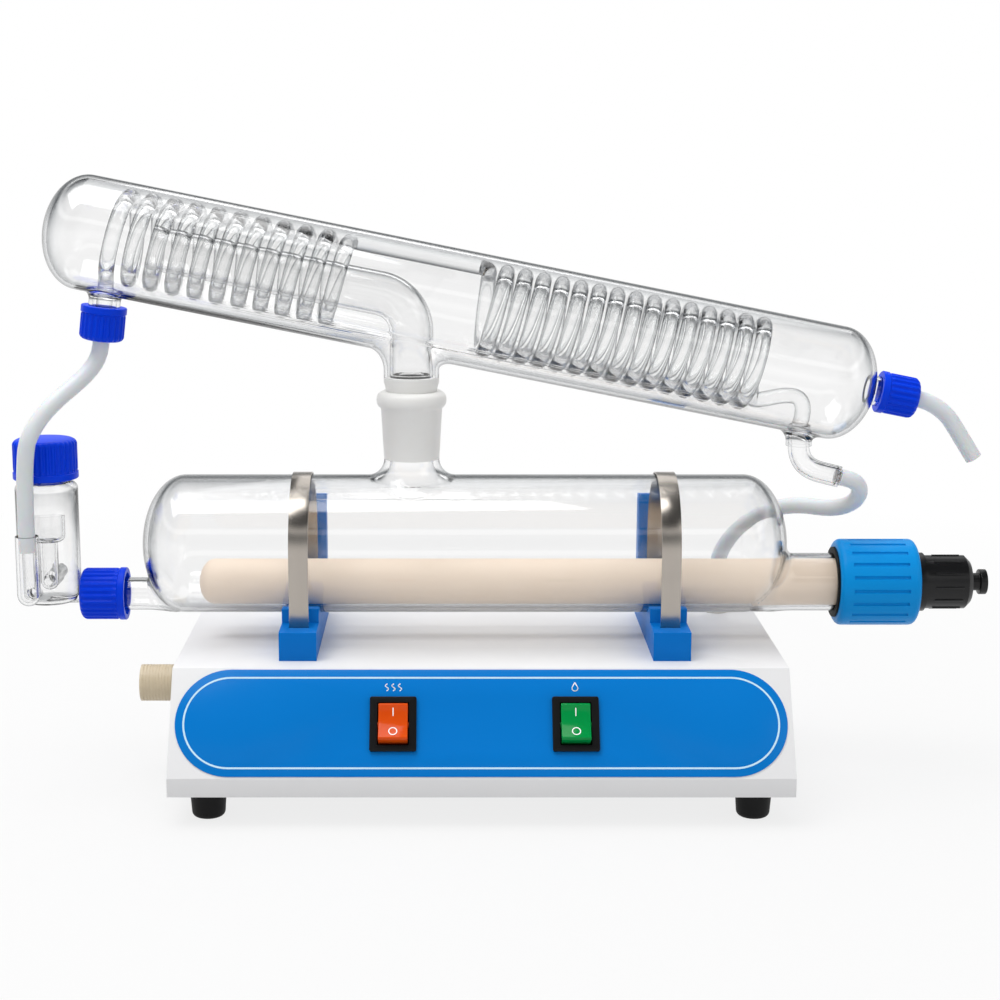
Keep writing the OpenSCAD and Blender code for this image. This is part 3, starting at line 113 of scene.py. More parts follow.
# The two colours of a mix are its inputs 6 and 7.
behind = put(sky, "ShaderNodeMix", {0: put(sky, "ShaderNodeLightPath").outputs["Is Camera Ray"],
    6: ceiling.outputs[0], 7: linear("#FFFFFF")}, data_type="RGBA")
light_low, light_high = 0.34, 0.8
from_above = put(sky, "ShaderNodeMapRange", {"Value": looked_up.outputs["Z"], "From Min": 0.0,
    "From Max": 0.9, "To Min": light_low, "To Max": light_high})
room = put(sky, "ShaderNodeBackground", {"Color": linear("#FFFFFF"), "Strength": from_above.outputs[0]})
shown = put(sky, "ShaderNodeBackground", {"Color": behind.outputs[2], "Strength": 1.0})
put(sky, "ShaderNodeOutputWorld", {"Surface": put(sky, "ShaderNodeMixShader",
    {0: looked_at(sky), 1: room.outputs[0], 2: shown.outputs[0]}).outputs[0]})

# The floor runs out to plain white 0.9 m from the still, so that no horizon shows.
floor_paint = bpy.data.materials.new("white_paper_floor")
floor_paint.use_nodes = True
tree = floor_paint.node_tree
tree.nodes.clear()
away = put(tree, "ShaderNodeVectorMath", {0: put(tree, "ShaderNodeTexCoord").outputs["Object"]},
    operation="LENGTH")
fade = put(tree, "ShaderNodeMapRange", {"Value": away.outputs["Value"], "From Min": 0.25,
    "From Max": 0.9, "To Min": 0.8, "To Max": 1.0})
share = put(tree, "ShaderNodeMath", {0: looked_at(tree), 1: fade.outputs[0]}, operation="MULTIPLY")
paper = put(tree, "ShaderNodeBsdfDiffuse", {"Color": linear("#CFCFCF")})
glow = put(tree, "ShaderNodeEmission", {"Color": linear("#FFFFFF"), "Strength": 1.0})
put(tree, "ShaderNodeOutputMaterial", {"Surface": put(tree, "ShaderNodeMixShader",
    {0: share.outputs[0], 1: paper.outputs[0], 2: glow.outputs[0]}).outputs[0]})

bm = bmesh.new()
floor_reach = 6
bmesh.ops.create_grid(bm, x_segments=2, y_segments=2, size=floor_reach)
floor_mesh = bpy.data.meshes.new("floor")
bm.to_mesh(floor_mesh)
bm.free()
floor_mesh.materials.append(floor_paint)
floor = bpy.data.objects.new("floor", floor_mesh)
bpy.context.scene.collection.objects.link(floor)

lamp_aim = Vector((0, 0, 0.15))
for name, place, size, power in (
        ("key_lamp", (-0.5, -0.1, 1.7), 1.3, 22),
        ("fill_lamp", (1.3, -1.0, 0.9), 0.9, 2.5),
        ("back_lamp", (0.2, 1.0, 1.5), 1.2, 6)):
    lamp = bpy.data.lights.new(name, "AREA")
    lamp.shape = "SQUARE"
    lamp.size = size
    lamp.energy = power
    lamp_object = bpy.data.objects.new(name, lamp)
    lamp_object.location = place
    lamp_object.rotation_euler = (lamp_aim - Vector(place)).to_track_quat("-Z", "Y").to_euler()
    bpy.context.scene.collection.objects.link(lamp_object)


# Distillate hose: a short free end of silicone hose that leaves the outlet cap and bends down.
# Extruded translucent white silicone, which glows softly where light enters its wall, cut square.
def piece(bm, name, body, finish, sharp, place=still):
    """Sets a mesh in its place, smooths all but its sharp edges, and lets it ride on its body."""
    bmesh.ops.transform(bm, matrix=place, verts=bm.verts)
    for face in bm.faces:
        face.smooth = True
    for edge in bm.edges:
        edge.smooth = len(edge.link_faces) == 2 and edge.calc_face_angle(0) < math.radians(sharp)
    mesh = bpy.data.meshes.new(name)
    bm.to_mesh(mesh)
    bm.free()
    mesh.materials.append(finish)
    thing = bpy.data.objects.new(name, mesh)
    bpy.context.scene.collection.objects.link(thing)
    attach(thing, body)
    return thing


def surface(name, shade, tint, patch, roughness, grain, depth, **values):
    """A material of two close colours in patches, with a fine grain, both sized in millimetres."""
    finish = bpy.data.materials.new(name)
    finish.use_nodes = True
    tree = finish.node_tree
    shader = tree.nodes["Principled BSDF"]
    where = put(tree, "ShaderNodeTexCoord").outputs["Object"]
    patches = put(tree, "ShaderNodeTexNoise", {"Vector": where, "Scale": 1000 / patch, "Detail": 3.0})
    mix = put(tree, "ShaderNodeMix", {0: patches.outputs["Fac"], 6: linear(shade), 7: linear(tint)},
        data_type="RGBA")
    grains = put(tree, "ShaderNodeTexNoise", {"Vector": where, "Scale": 1000 / grain, "Detail": 2.0})
    bump = put(tree, "ShaderNodeBump", {"Height": grains.outputs["Fac"], "Distance": depth / 1000,
        "Strength": 0.6})
    rough = put(tree, "ShaderNodeMapRange", {"Value": grains.outputs["Fac"],
        "To Min": roughness * 0.85, "To Max": roughness * 1.15})
    tree.links.new(mix.outputs[2], shader.inputs["Base Color"])
    tree.links.new(bump.outputs[0], shader.inputs["Normal"])
    tree.links.new(rough.outputs[0], shader.inputs["Roughness"])
    for key, value in values.items():
        shader.inputs[key.replace("_", " ")].default_value = value
    return finish


def bezier(a, b, c, d, steps):
    """Places along a cubic curve, without its first one."""
    return [a * (1 - u) ** 3 + b * 3 * u * (1 - u) ** 2 + c * 3 * u * u * (1 - u) + d * u ** 3 for u in
        [i / steps for i in range(1, steps + 1)]]


def drawn(points, outer, bore, sides):
    """A tube drawn through close places, open at both ends, or a closed rod where the bore is nought."""
    bm = bmesh.new()
    for d in (outer, bore) if bore else (outer,):
        curve = bpy.data.curves.new("tube", "CURVE")
        curve.dimensions = "3D"
        curve.bevel_depth = d / 2
        curve.bevel_resolution = sides // 4 - 1
        curve.use_fill_caps = False
        spline = curve.splines.new("POLY")
        spline.points.add(len(points) - 1)
        for point, place in zip(spline.points, points):
            point.co = (*place, 1)
        thing = bpy.data.objects.new("tube", curve)
        bpy.context.scene.collection.objects.link(thing)
        bm.from_mesh(thing.to_mesh())
        thing.to_mesh_clear()
        bpy.data.objects.remove(thing)
        bpy.data.curves.remove(curve)
    bmesh.ops.remove_doubles(bm, verts=bm.verts, dist=0.01)
    for end in (points[0], points[-1]):
        rims = [e for e in bm.edges if e.is_boundary
            and (e.verts[0].co - Vector(end)).length < outer * 0.55]
        if bore:
            bmesh.ops.bridge_loops(bm, edges=rims)
        else:
            bmesh.ops.contextual_create(bm, geom=rims)
    bmesh.ops.recalc_face_normals(bm, faces=bm.faces)
    return bm


def hose(route, outer, bore, sides):
    """A hose along a smooth curve: route holds its points as (place, way in, way out)."""
    points = [Vector(route[0][0])]
    for (a, _, b), (d, c, _) in zip(route, route[1:]):
        points += bezier(Vector(a), Vector(b), Vector(c), Vector(d), 16)
    return drawn(points, outer, bore, sides)


silicone = surface("extruded_translucent_silicone", "#E4E6EA", "#F2F3F5", 30, 0.34, 0.8, 0.02,
    Subsurface_Weight=0.35, Subsurface_Scale=0.004, Transmission_Weight=0.12, IOR=1.42)
hose_d = 9.6
hose_bore = 6.4
hose_sides = 28
distillate_path = [(236, 0, 223), (251, 0, 220), (257, 0, 218), (263, 0, 214.5), (268, 0, 210),
    (272, 0, 204.5), (278, 0, 195.3), (284, 0, 186)]
distillate_route = []
for i, place in enumerate(distillate_path):
    before = Vector(distillate_path[max(i - 1, 0)])
    after = Vector(distillate_path[min(i + 1, len(distillate_path) - 1)])
    way = (after - before).normalized()
    here = Vector(place)
    distillate_route.append((here, here - way * (here - before).length / 3,
        here + way * (after - here).length / 3))
distillate = piece(hose(distillate_route, hose_d, hose_bore, hose_sides), "distillate_hose_tube", "root",
    silicone, 35)
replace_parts(distillate, "distillate_hose")


# Housing: folded sheet steel with a sloping front, open below, with a fine-textured white powder coat.
# Laser cut, bent in one strip, with its side walls welded in and the corners ground round.
def copied(node, bevel=0.0, segments=3):
    """A merged copy of a CAD node in metres, with its sharp edges rounded."""
    bm = bmesh.new()
    bm.from_mesh(nodes[node].data)
    bmesh.ops.remove_doubles(bm, verts=bm.verts, dist=0.000002)
    bmesh.ops.dissolve_limit(bm, angle_limit=math.radians(2), verts=bm.verts, edges=bm.edges)
    if bevel:
        edges = [e for e in bm.edges if len(e.link_faces) == 2
            and e.calc_face_angle(0) > math.radians(30)]
        bmesh.ops.bevel(bm, geom=edges, offset=bevel / 1000, offset_type="OFFSET", segments=segments,
            affect="EDGES", profile=0.5, material=-1, clamp_overlap=True)
    bmesh.ops.triangulate(bm, faces=[f for f in bm.faces if len(f.verts) > 4])
    return bm


def remade(node, name, body, finish, bevel=0.0, segments=3, sharp=30):
    """Puts a copy of a CAD node with rounded edges in its place."""
    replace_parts(piece(copied(node, bevel, segments), name, body, finish, sharp, Matrix()), node)


def paint(node, finish):
    """Gives a CAD node that stays its material."""
    nodes[node].data.materials.clear()
    nodes[node].data.materials.append(finish)


# Powder coat: a white with a fine orange peel, which spreads every highlight to a soft glow.
powder_coat = surface("fine_textured_powder_coat", "#E6E6E7", "#E9E9EA", 60, 0.42, 0.35, 0.03,
    Specular_IOR_Level=0.3)
remade("base_housing", "housing_shell", "root", powder_coat, 0.7)


# Under the housing: a zinc-plated sheet bottom, screwed to tabs, and turned-down rubber feet
# moulded round a steel screw each. The screws are plated pan heads.
# Zinc looks cloudy and grey, the thin plating of the screws brighter, and rubber deep black and dull.
zinc_sheet = surface("zinc_plated_sheet", "#A4A7A9", "#B4B6B7", 12, 0.38, 0.6, 0.01, Metallic=1.0)
plated_screw = surface("bright_plated_screw", "#C2C3C5", "#CDCED0", 3, 0.24, 0.4, 0.01, Metallic=1.0)
foot_rubber = surface("moulded_black_rubber", "#0C0C0D", "#121213", 8, 0.6, 0.5, 0.05,
    Specular_IOR_Level=0.2)
paint("base_plate", zinc_sheet)
for node in ("foot_screws", "foot_nuts", "plate_screws", "support_screws"):
    paint(node, plated_screw)
remade("rubber_feet", "moulded_feet", "root", foot_rubber, 0.3)


# Front label: glossy blue polyester film with round ends and a thin pale line printed inside its edge.
# The heat and drop signs are screen printed in white.
def extruded(bm, way):
    """Gives a flat face thickness, with its faces pointing outwards."""
    body = bmesh.ops.extrude_face_region(bm, geom=bm.faces[:])
    moved = [v for v in body["geom"] if isinstance(v, bmesh.types.BMVert)]
    bmesh.ops.translate(bm, vec=way, verts=moved)
    bmesh.ops.recalc_face_normals(bm, faces=bm.faces)
    return bm


def stadium(length, height, lift, thick):
    """A flat plate with round ends, lying on the sloping front."""
    bm = bmesh.new()
    for side in (1, -1):
        for i in range(33):
            a = math.radians(-90 + 180 * i / 32)
            bm.verts.new((side * ((length - height) / 2 + height / 2 * math.cos(a)),
                side * height / 2 * math.sin(a), lift))
    bm.faces.new(bm.verts)
    return extruded(bm, (0, 0, thick))


def combined(first, second, operation):
    """Joins two closed meshes, or cuts the second out of the first."""
    pair = []
    for bm in (first, second):
        mesh = bpy.data.meshes.new("part")
        bm.to_mesh(mesh)
        bm.free()
        thing = bpy.data.objects.new("part", mesh)
        bpy.context.scene.collection.objects.link(thing)
        pair.append(thing)
    join = pair[0].modifiers.new("join", "BOOLEAN")
    join.operation = operation
    join.solver = "EXACT"
    join.object = pair[1]
    bm = bmesh.new()
    bm.from_object(pair[0], bpy.context.evaluated_depsgraph_get())
    for thing in pair:
        mesh = thing.data
        bpy.data.objects.remove(thing)
        bpy.data.meshes.remove(mesh)
    return bm


def strokes(lines, width, lift, thick):
    """Printed strokes: each line is a list of places on the label, drawn as a flat band."""
    whole = bmesh.new()
    for points in lines:
        for a, b in zip(points, points[1:]):
            a, b = Vector((*a, 0)), Vector((*b, 0))
            bm = bmesh.new()
            bmesh.ops.create_cube(bm, size=1)
            bmesh.ops.scale(bm, vec=((b - a).length + width, width, thick), verts=bm.verts)
            corners = [e for e in bm.edges if abs(e.verts[0].co.z - e.verts[1].co.z) > thick / 2]
            bmesh.ops.bevel(bm, geom=corners, offset=width * 0.48, segments=4, affect="EDGES",
                profile=0.5, material=-1)
            turn = Matrix.Rotation(math.atan2((b - a).y, (b - a).x), 4, "Z")
            middle = (a + b) / 2 + Vector((0, 0, lift + thick / 2))
            bmesh.ops.transform(bm, matrix=Matrix.Translation(middle) @ turn, verts=bm.verts)
            mesh = bpy.data.meshes.new("stroke")
            bm.to_mesh(mesh)
            bm.free()
            whole.from_mesh(mesh)
            bpy.data.meshes.remove(mesh)
    return whole


front_lean = math.degrees(math.atan2(33, 52.5))
on_face = Matrix.Translation((0, -83.5, 53.75)) @ Matrix.Rotation(math.radians(90 - front_lean), 4, "X")
# Film over a printed colour looks even and glossy, and the inks on top of it look flatter.
label_film = surface("gloss_polyester_film_blue", "#0074C7", "#0078CB", 80, 0.22, 2.0, 0.004,
    Specular_IOR_Level=0.12)
printed_line = surface("printed_pale_line", "#BFE4F6", "#CBEAF8", 10, 0.28, 1.0, 0.003)
sign_ink = surface("screen_printed_white", "#F4F6F7", "#FBFCFC", 10, 0.4, 0.5, 0.003)
remade("front_label", "blue_label", "root", label_film, 0.1, 2)

label_l = 334
label_h = 60
line_inset = 4.2
line_end = line_inset + 1
line = combined(stadium(label_l - 2 * line_inset, label_h - 2 * line_inset, 0.5, 0.06),
    stadium(label_l - 2 * line_end, label_h - 2 * line_end, 0.4, 0.3), "DIFFERENCE")
piece(line, "label_line", "root", printed_line, 30, still @ on_face)

heat_x = -48
drop_x = 51.5
heat_sign = [[(heat_x + x + 0.9 * math.sin(i * 0.7), 18 + 0.42 * i) for i in range(10)]
    for x in (-3.6, 0, 3.6)]
drop_round = [(math.radians(t), 1.6) for t in range(140, 401, 20)]
drop_tip = (math.radians(90), 3.2)
drop_sign = [[(drop_x + r * math.cos(a), 19.4 + r * math.sin(a)) for a, r in
    drop_round + [drop_tip, drop_round[0]]]]
print_w = 0.55
piece(strokes(heat_sign + drop_sign, print_w, 0.5, 0.05), "label_signs", "root", sign_ink, 30,
    still @ on_face)


# Rocker switches: a black moulded bezel snapped into the front, and a glossy lit rocker on two
# trunnions in it, dished along its length, with a printed bar for on and a ring for off.
# Moulded nylon is a satin black, and the stamped blades under it are bare, shiny brass.
switch_black = surface("moulded_black_nylon", "#0E0E0F", "#131314", 15, 0.34, 0.4, 0.02,
    Specular_IOR_Level=0.25)
brass_blade = surface("stamped_brass", "#C9A35A", "#D2AE68", 5, 0.3, 0.5, 0.01, Metallic=1.0)
rocker_w = 16
rocker_low = -2
rocker_mid = 4.18
rocker_top = 4.9
rocker_tilt = -8
rocker_edge = 0.45
foot_reach = 10.6
lip_reach = 10.8
dish_reach = 9.7
dish = 1.82 / dish_reach ** 2
trunnion_r = 1.6
trunnion_l = 18.8
ring_r = 2.2
ring_y = -5.6
for switch, across, shade, tint, slot in (
        ("heat", heat_x, "#CE4508", "#D84F0E", "orange_plastic"),
        ("power", drop_x, "#00863E", "#029246", "green_plastic")):
    remade(switch + "_switch_body", switch + "_bezel", "root", switch_black, 0.45)
    paint(switch + "_switch_terminals", brass_blade)
    # Clear tinted polycarbonate with a lamp under it: deep colour, a sharp gloss and a little glow.
    lit = surface(switch + "_lit_polycarbonate", shade, tint, 25, 0.16, 1.5, 0.004, Coat_Weight=0.1,
        Specular_IOR_Level=0.12, Subsurface_Weight=0.15, Subsurface_Scale=0.003, Emission_Strength=0.03,
        Emission_Color=linear(tint))
    seat = on_face @ Matrix.Translation((across, -1, -0.5)) \
        @ Matrix.Rotation(math.radians(rocker_tilt), 4, "X")
    bm = bmesh.new()
    outline = [(-foot_reach, rocker_low), (foot_reach, rocker_low), (lip_reach, rocker_top)] \
        + [(y, rocker_mid + dish * y * y) for y in [dish_reach * (1 - i / 8) for i in range(17)]] \
        + [(-lip_reach, rocker_top)]
    bm.faces.new([bm.verts.new((-rocker_w / 2, y, z)) for y, z in outline])
    extruded(bm, (rocker_w, 0, 0))
    rim = [e for e in bm.edges if e.calc_face_angle(0) > math.radians(25)]
    bmesh.ops.bevel(bm, geom=rim, offset=rocker_edge, segments=3, affect="EDGES", profile=0.5,
        material=-1)
    bmesh.ops.create_cone(bm, cap_ends=True, segments=24, radius1=trunnion_r, radius2=trunnion_r,
        depth=trunnion_l, matrix=Matrix.Rotation(math.radians(90), 4, "Y"))
    rocker = piece(bm, switch + "_rocker_cap", switch + "_rocker", lit, 30, still @ seat)
    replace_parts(rocker, switch + "_rocker")
    bar = [(0, 3.6), (0, 7.6)]
    ring = [(ring_r * math.cos(math.radians(t)), ring_y + ring_r * math.sin(math.radians(t)))
        for t in range(0, 361, 20)]
    bm = strokes([bar, ring], print_w, 0, 0.4)
    for vertex in bm.verts:
        vertex.co.z += rocker_mid + dish * vertex.co.y ** 2 - 0.34
    piece(bm, switch + "_rocker_marks", switch + "_rocker", sign_ink, 30, still @ seat)


# Water inlet: a threaded beige nylon stub through the left wall with a grey flange and a rubber washer,
# and behind the wall the solenoid valve, its hose and the barb to the top.
# Nylon is opaque with a soft sheen, in beige, grey and white, and the potted coil is a dull black.
beige_nylon = surface("moulded_beige_nylon", "#D3C3A6", "#DBCDB2", 12, 0.45, 0.5, 0.03)
grey_nylon = surface("moulded_grey_nylon", "#B6B9BB", "#BFC2C4", 12, 0.45, 0.5, 0.03)
white_nylon = surface("moulded_white_nylon", "#E6E3DA", "#EDEBE4", 12, 0.45, 0.5, 0.03)
potted_coil = surface("potted_black_coil", "#222224", "#2A2A2C", 10, 0.5, 0.6, 0.04)
remade("inlet_valve", "inlet_valve_body", "root", beige_nylon)
for node, finish in (("inlet_flange", grey_nylon), ("inlet_washer", foot_rubber),
        ("valve_coil", potted_coil), ("hose_bulkhead", white_nylon), ("terminal_block", white_nylon),
        ("safety_thermostat", potted_coil), ("valve_hose", silicone)):
    paint(node, finish)


# Back wall: a moulded black inlet for the mains lead and a round socket for the heater lead, both of
# the same nylon as the switches and snapped into the sheet from outside.
for node in ("mains_inlet", "heater_socket"):
    remade(node, node + "_shell", "root", switch_black, 0.4)


# Clamps: blue polyamide blocks milled to cradle the boiler, with an arm behind it, and a thin
# stainless strap over the glass that is brushed along its length.
# Milled polyamide is an even, waxy blue, and brushed steel mirrors its surroundings in fine streaks.
polyamide_blue = surface("milled_blue_polyamide", "#006DC4", "#0073CA", 20, 0.42, 0.7, 0.03,
    Specular_IOR_Level=0.1)
strap_steel = surface("brushed_stainless_strap", "#ABA49C", "#B4ADA5", 12, 0.22, 0.8, 0.0, Metallic=1.0)
tree = strap_steel.node_tree
shader = tree.nodes["Principled BSDF"]
# The brush lines run round the boiler, so the pattern changes fast only across the strap. Real lines
# are finer, and 0.25 mm is as coarse as it takes for them to show.
brush_w = 0.25
brush_l = 40
lines = put(tree, "ShaderNodeTexNoise", {"Scale": 1.0, "Detail": 3.0, "Vector": put(tree,
    "ShaderNodeMapping", {"Vector": put(tree, "ShaderNodeTexCoord").outputs["Object"],
    "Scale": (1000 / brush_w, 1000 / brush_l, 1000 / brush_l)}).outputs[0]})
tree.links.new(put(tree, "ShaderNodeMapRange", {"Value": lines.outputs["Fac"], "To Min": 0.2,
    "To Max": 0.28}).outputs[0], shader.inputs["Roughness"])
tree.links.new(put(tree, "ShaderNodeBump", {"Height": lines.outputs["Fac"], "Distance": 0.00001,
    "Strength": 0.15}).outputs[0], shader.inputs["Normal"])
for side in ("left", "right"):
    remade("clamp_support_" + side, "clamp_block_" + side, "root", polyamide_blue, 0.5)
    remade("clamp_strap_" + side, "strap_" + side, "root", strap_steel, 0.12, 2)


# Boiler: borosilicate tube with two domed ends, a flared neck to the ground socket, a neck for the
# heater and a nozzle for the level vessel. Lamp-worked: every neck flows into the wall in a round fillet.
def glass(name, shades, ior=1.474):
    """Clear glass with painted shade that darkens it where its wall is seen edge on, and that lets the light
    for dull things through.
    """
    finish = bpy.data.materials.new(name)
    finish.use_nodes = True
    tree = finish.node_tree
    shader = tree.nodes["Principled BSDF"]
    shader.inputs["Transmission Weight"].default_value = 1.0
    shader.inputs["Roughness"].default_value = 0.0
    shader.inputs["IOR"].default_value = ior
    # Painted shade: the base colour runs through the given shades by how edge on the wall is seen, from near
    # white in the middle to dark at the edges.
    facing = put(tree, "ShaderNodeLayerWeight", {"Blend": 0.5}).outputs["Facing"]
    ramp = put(tree, "ShaderNodeValToRGB", {0: facing})
    stops = ramp.color_ramp.elements
    stops.remove(stops[1])
    stops[0].position, stops[0].color = shades[0][0], linear(shades[0][1])
    for at, shade in shades[1:]:
        stops.new(at).color = linear(shade)
    # Faint waves of drawn tube, far shallower than they are long.
    wave_l = 62.5
    waves = put(tree, "ShaderNodeTexNoise", {"Vector": put(tree, "ShaderNodeTexCoord").outputs["Object"],
        "Scale": 1000 / wave_l, "Detail": 1.0})
    bump = put(tree, "ShaderNodeBump", {"Height": waves.outputs["Fac"], "Distance": 0.0006,
        "Strength": 0.25})
    tree.links.new(ramp.outputs[0], shader.inputs["Base Color"])
    tree.links.new(bump.outputs[0], shader.inputs["Normal"])
    path = put(tree, "ShaderNodeLightPath")
    unseen = put(tree, "ShaderNodeMath", {0: path.outputs["Is Shadow Ray"],
        1: path.outputs["Diffuse Depth"]}, operation="ADD", use_clamp=True)
    open_way = put(tree, "ShaderNodeBsdfTransparent", {"Color": linear("#FCFCFC")})
    whole = put(tree, "ShaderNodeMixShader", {0: unseen.outputs[0], 1: shader.outputs[0],
        2: open_way.outputs[0]})
    tree.links.new(whole.outputs[0], tree.nodes["Material Output"].inputs["Surface"])
    return finish


def arc(cx, cz, rx, rz, start, end, steps):
    """Points of an elliptic arc."""
    return [(cx + rx * math.cos(math.radians(start + (end - start) * i / steps)),
        cz + rz * math.sin(math.radians(start + (end - start) * i / steps))) for i in range(steps + 1)]


def turned(profile, place=Matrix(), steps=96):
    """A shape turned from its half outline, round Z before it is placed."""
    bm = bmesh.new()
    points = [bm.verts.new((r, 0, z)) for r, z in profile]
    edges = [bm.edges.new(pair) for pair in zip(points, points[1:])]
    bmesh.ops.spin(bm, geom=points + edges, cent=(0, 0, 0), axis=(0, 0, 1), angle=2 * math.pi,
        steps=steps, use_merge=True)
    bmesh.ops.remove_doubles(bm, verts=bm.verts, dist=0.001)
    bmesh.ops.recalc_face_normals(bm, faces=bm.faces)
    bmesh.ops.transform(bm, matrix=place, verts=bm.verts)
    return bm


def along(x, z, turn=90):
    """Places a turned shape with its axis to the right at a height."""
    return Matrix.Translation((x, 0, z)) @ Matrix.Rotation(math.radians(turn), 4, "Y")


def capsule(r, low, high, dome):
    """Half outline of a tube with two domed ends."""
    return [(0, low)] + arc(0, low + dome, r, dome, -88, 0, 20) \
        + arc(0, high - dome, r, dome, 0, 88, 20) + [(0, high)]


def neck(r, top, flare, wall_at, place, sink=0.4, steps=96):
    """A solid neck whose foot spreads in a fillet over the curved wall given by its height at (x, y)."""
    level = wall_at(0, 0)
    bm = turned([(0, -sink), (r + flare, -sink)] + arc(r + flare, flare, flare, flare, -90, -180, 14)
        + [(r, top - level), (0, top - level)], steps=steps)
    for vertex in bm.verts:
        share = min(1, max(0, 1 - vertex.co.z / flare))
        x, y = vertex.co.x, vertex.co.y
        vertex.co.z += level + share * (wall_at(x, y) - level)
    bmesh.ops.transform(bm, matrix=place, verts=bm.verts)
    return bm


def joined(first, *others):
    """Joins closed meshes into one."""
    for other in others:
        first = combined(first, other, "UNION")
    return first


boiler_r = 40
boiler_t = 2.5
boiler_z = 136
boiler_left = -194.5
boiler_right = 177.5
boiler_dome = 25
heater_z = 113
inlet_z = 106
inlet_sink = 2
joint_x = -39
neck_r = 15.9
neck_bore_r = 12.4


def boiler_side(r):
    """Height of the boiler's wall over its axis, beside the neck."""
    return lambda x, y: math.sqrt(max(0, r * r - y * y))


def boiler_end(r, dome, drop, side, back):
    """Depth of a domed end behind a nozzle's own zero, for a nozzle that lies below the dome's axis."""
    return lambda x, y: dome * math.sqrt(max(0, 1 - ((drop + side * x) ** 2 + y * y) / r ** 2)) - back


def within(bm, r):
    """Draws what stands out of the boiler's round back to just inside its wall."""
    for vertex in bm.verts:
        reach = math.hypot(vertex.co.y, vertex.co.z - boiler_z)
        if reach > r:
            vertex.co.y *= (r - 0.3) / reach
            vertex.co.z = boiler_z + (vertex.co.z - boiler_z) * (r - 0.3) / reach
    return bm


def boiler_shape(inset, limit, steam, heater, inlet):
    """The boiler's outside or its hollow, with each neck as (radius, top, fillet)."""
    r = boiler_r - inset
    dome = boiler_dome - inset
    at_heater = boiler_end(r, dome, boiler_z - heater_z, 1, boiler_dome)
    at_inlet = boiler_end(r, dome, boiler_z - inlet_z, -1, boiler_dome - inlet_sink)
    return joined(
        turned(capsule(r, boiler_left + inset, boiler_right - inset, dome), along(0, boiler_z), 128),
        neck(*steam, boiler_side(r), Matrix.Translation((joint_x, 0, boiler_z))),
        within(neck(*heater, at_heater, along(boiler_right, heater_z), 3), limit),
        within(neck(*inlet, at_inlet, along(boiler_left + inlet_sink, inlet_z, -90), 3), limit))


# Borosilicate glass is colourless, with sharp white highlights, and painted shade makes its edges grey to
# black.
clear_glass = glass("clear_borosilicate_glass",
    ((0.35, "#FCFCFC"), (0.62, "#D2D4D6"), (0.77, "#85888A"), (0.88, "#1E2022")))
outer = boiler_shape(0, boiler_r - 0.05,
    steam=(neck_r, 50.6, 9.8), heater=(16.8, 59, 9), inlet=(9.5, 25.5, 7))
inner = boiler_shape(boiler_t, boiler_r - boiler_t + 0.1,
    steam=(neck_bore_r, 51.5, 11.5), heater=(14.6, 62, 10.6), inlet=(7.5, 28, 8.6))
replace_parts(piece(combined(outer, inner, "DIFFERENCE"), "boiler_glass", "root",
    clear_glass, 50), "boiler_vessel")


# Ground joint: a socket with a ground bore and a bead at its mouth, and the cone that hangs from the
# condenser in it. Both faces are ground, which leaves the glass white and translucent.
ground_glass = surface("ground_borosilicate_glass", "#FBFAF7", "#FEFEFC", 6, 0.4, 0.5, 0.05,
    Transmission_Weight=0.12, IOR=1.474)
socket_low = 186
socket_top = 225
bead_z = 220
socket = [(neck_r, socket_low), (17.5, bead_z - 5)] + arc(17, bead_z, 3, 4.6, -70, 70, 12) \
    + [(16.5, socket_top), (14.6, socket_top), (13, socket_low + 7), (neck_bore_r, socket_low),
        (neck_r, socket_low)]
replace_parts(piece(turned(socket, Matrix.Translation((joint_x, 0, 0))), "ground_socket", "root",
    ground_glass, 40), "joint_socket")
remade("joint_cone", "ground_cone", "root", ground_glass, sharp=40)


# Heater: a cream ceramic sheath with a rounded end, gripped in a black gasket by a ribbed blue nut,
# with a black plug and a small cable gland behind it.
# Unglazed ceramic is warm and dull, polypropylene waxy with a broad highlight, in blue and in black.
ceramic = surface("unglazed_cream_ceramic", "#F2DDC7", "#F7E5D1", 25, 0.55, 0.6, 0.03)
nut_blue = surface("moulded_blue_polypropylene", "#0088D6", "#0092DE", 20, 0.36, 0.6, 0.02,
    Specular_IOR_Level=0.12)
plug_black = surface("moulded_black_polypropylene", "#0F0F10", "#141416", 15, 0.32, 0.5, 0.03,
    Specular_IOR_Level=0.3)
element = surface("wound_resistance_element", "#8E8A82", "#9A968E", 5, 0.4, 0.5, 0.04, Metallic=0.8)
remade("heater_sheath", "ceramic_sheath", "heater_unit", ceramic, sharp=50)
paint("heater_core", element)
paint("heater_gasket", foot_rubber)
remade("heater_plug", "plug_shell", "heater_unit", plug_black, 0.3, sharp=40)
remade("plug_gland", "gland_shell", "heater_unit", plug_black, 0.3, sharp=40)
remade("heater_nut", "nut_shell", "heater_nut", nut_blue, 0.35, sharp=35)


# Boiler inlet cap: royal blue polypropylene, moulded with a plain rim and close upright ribs above it,
# over a red silicone seal. The other caps are made in the same way.
# Moulded polypropylene is a strong, even blue with a thin light on each rib, and the seal is dull.
cap_blue = surface("moulded_royal_polypropylene", "#003ADB", "#003FE2", 15, 0.32, 0.6, 0.02,
    Specular_IOR_Level=0.1)
red_seal = surface("red_silicone_seal", "#A5452F", "#AE4C35", 6, 0.5, 0.5, 0.02)
rim_h = 3.9
top_t = 2.6
round_r = 3
rib_depth = 0.42


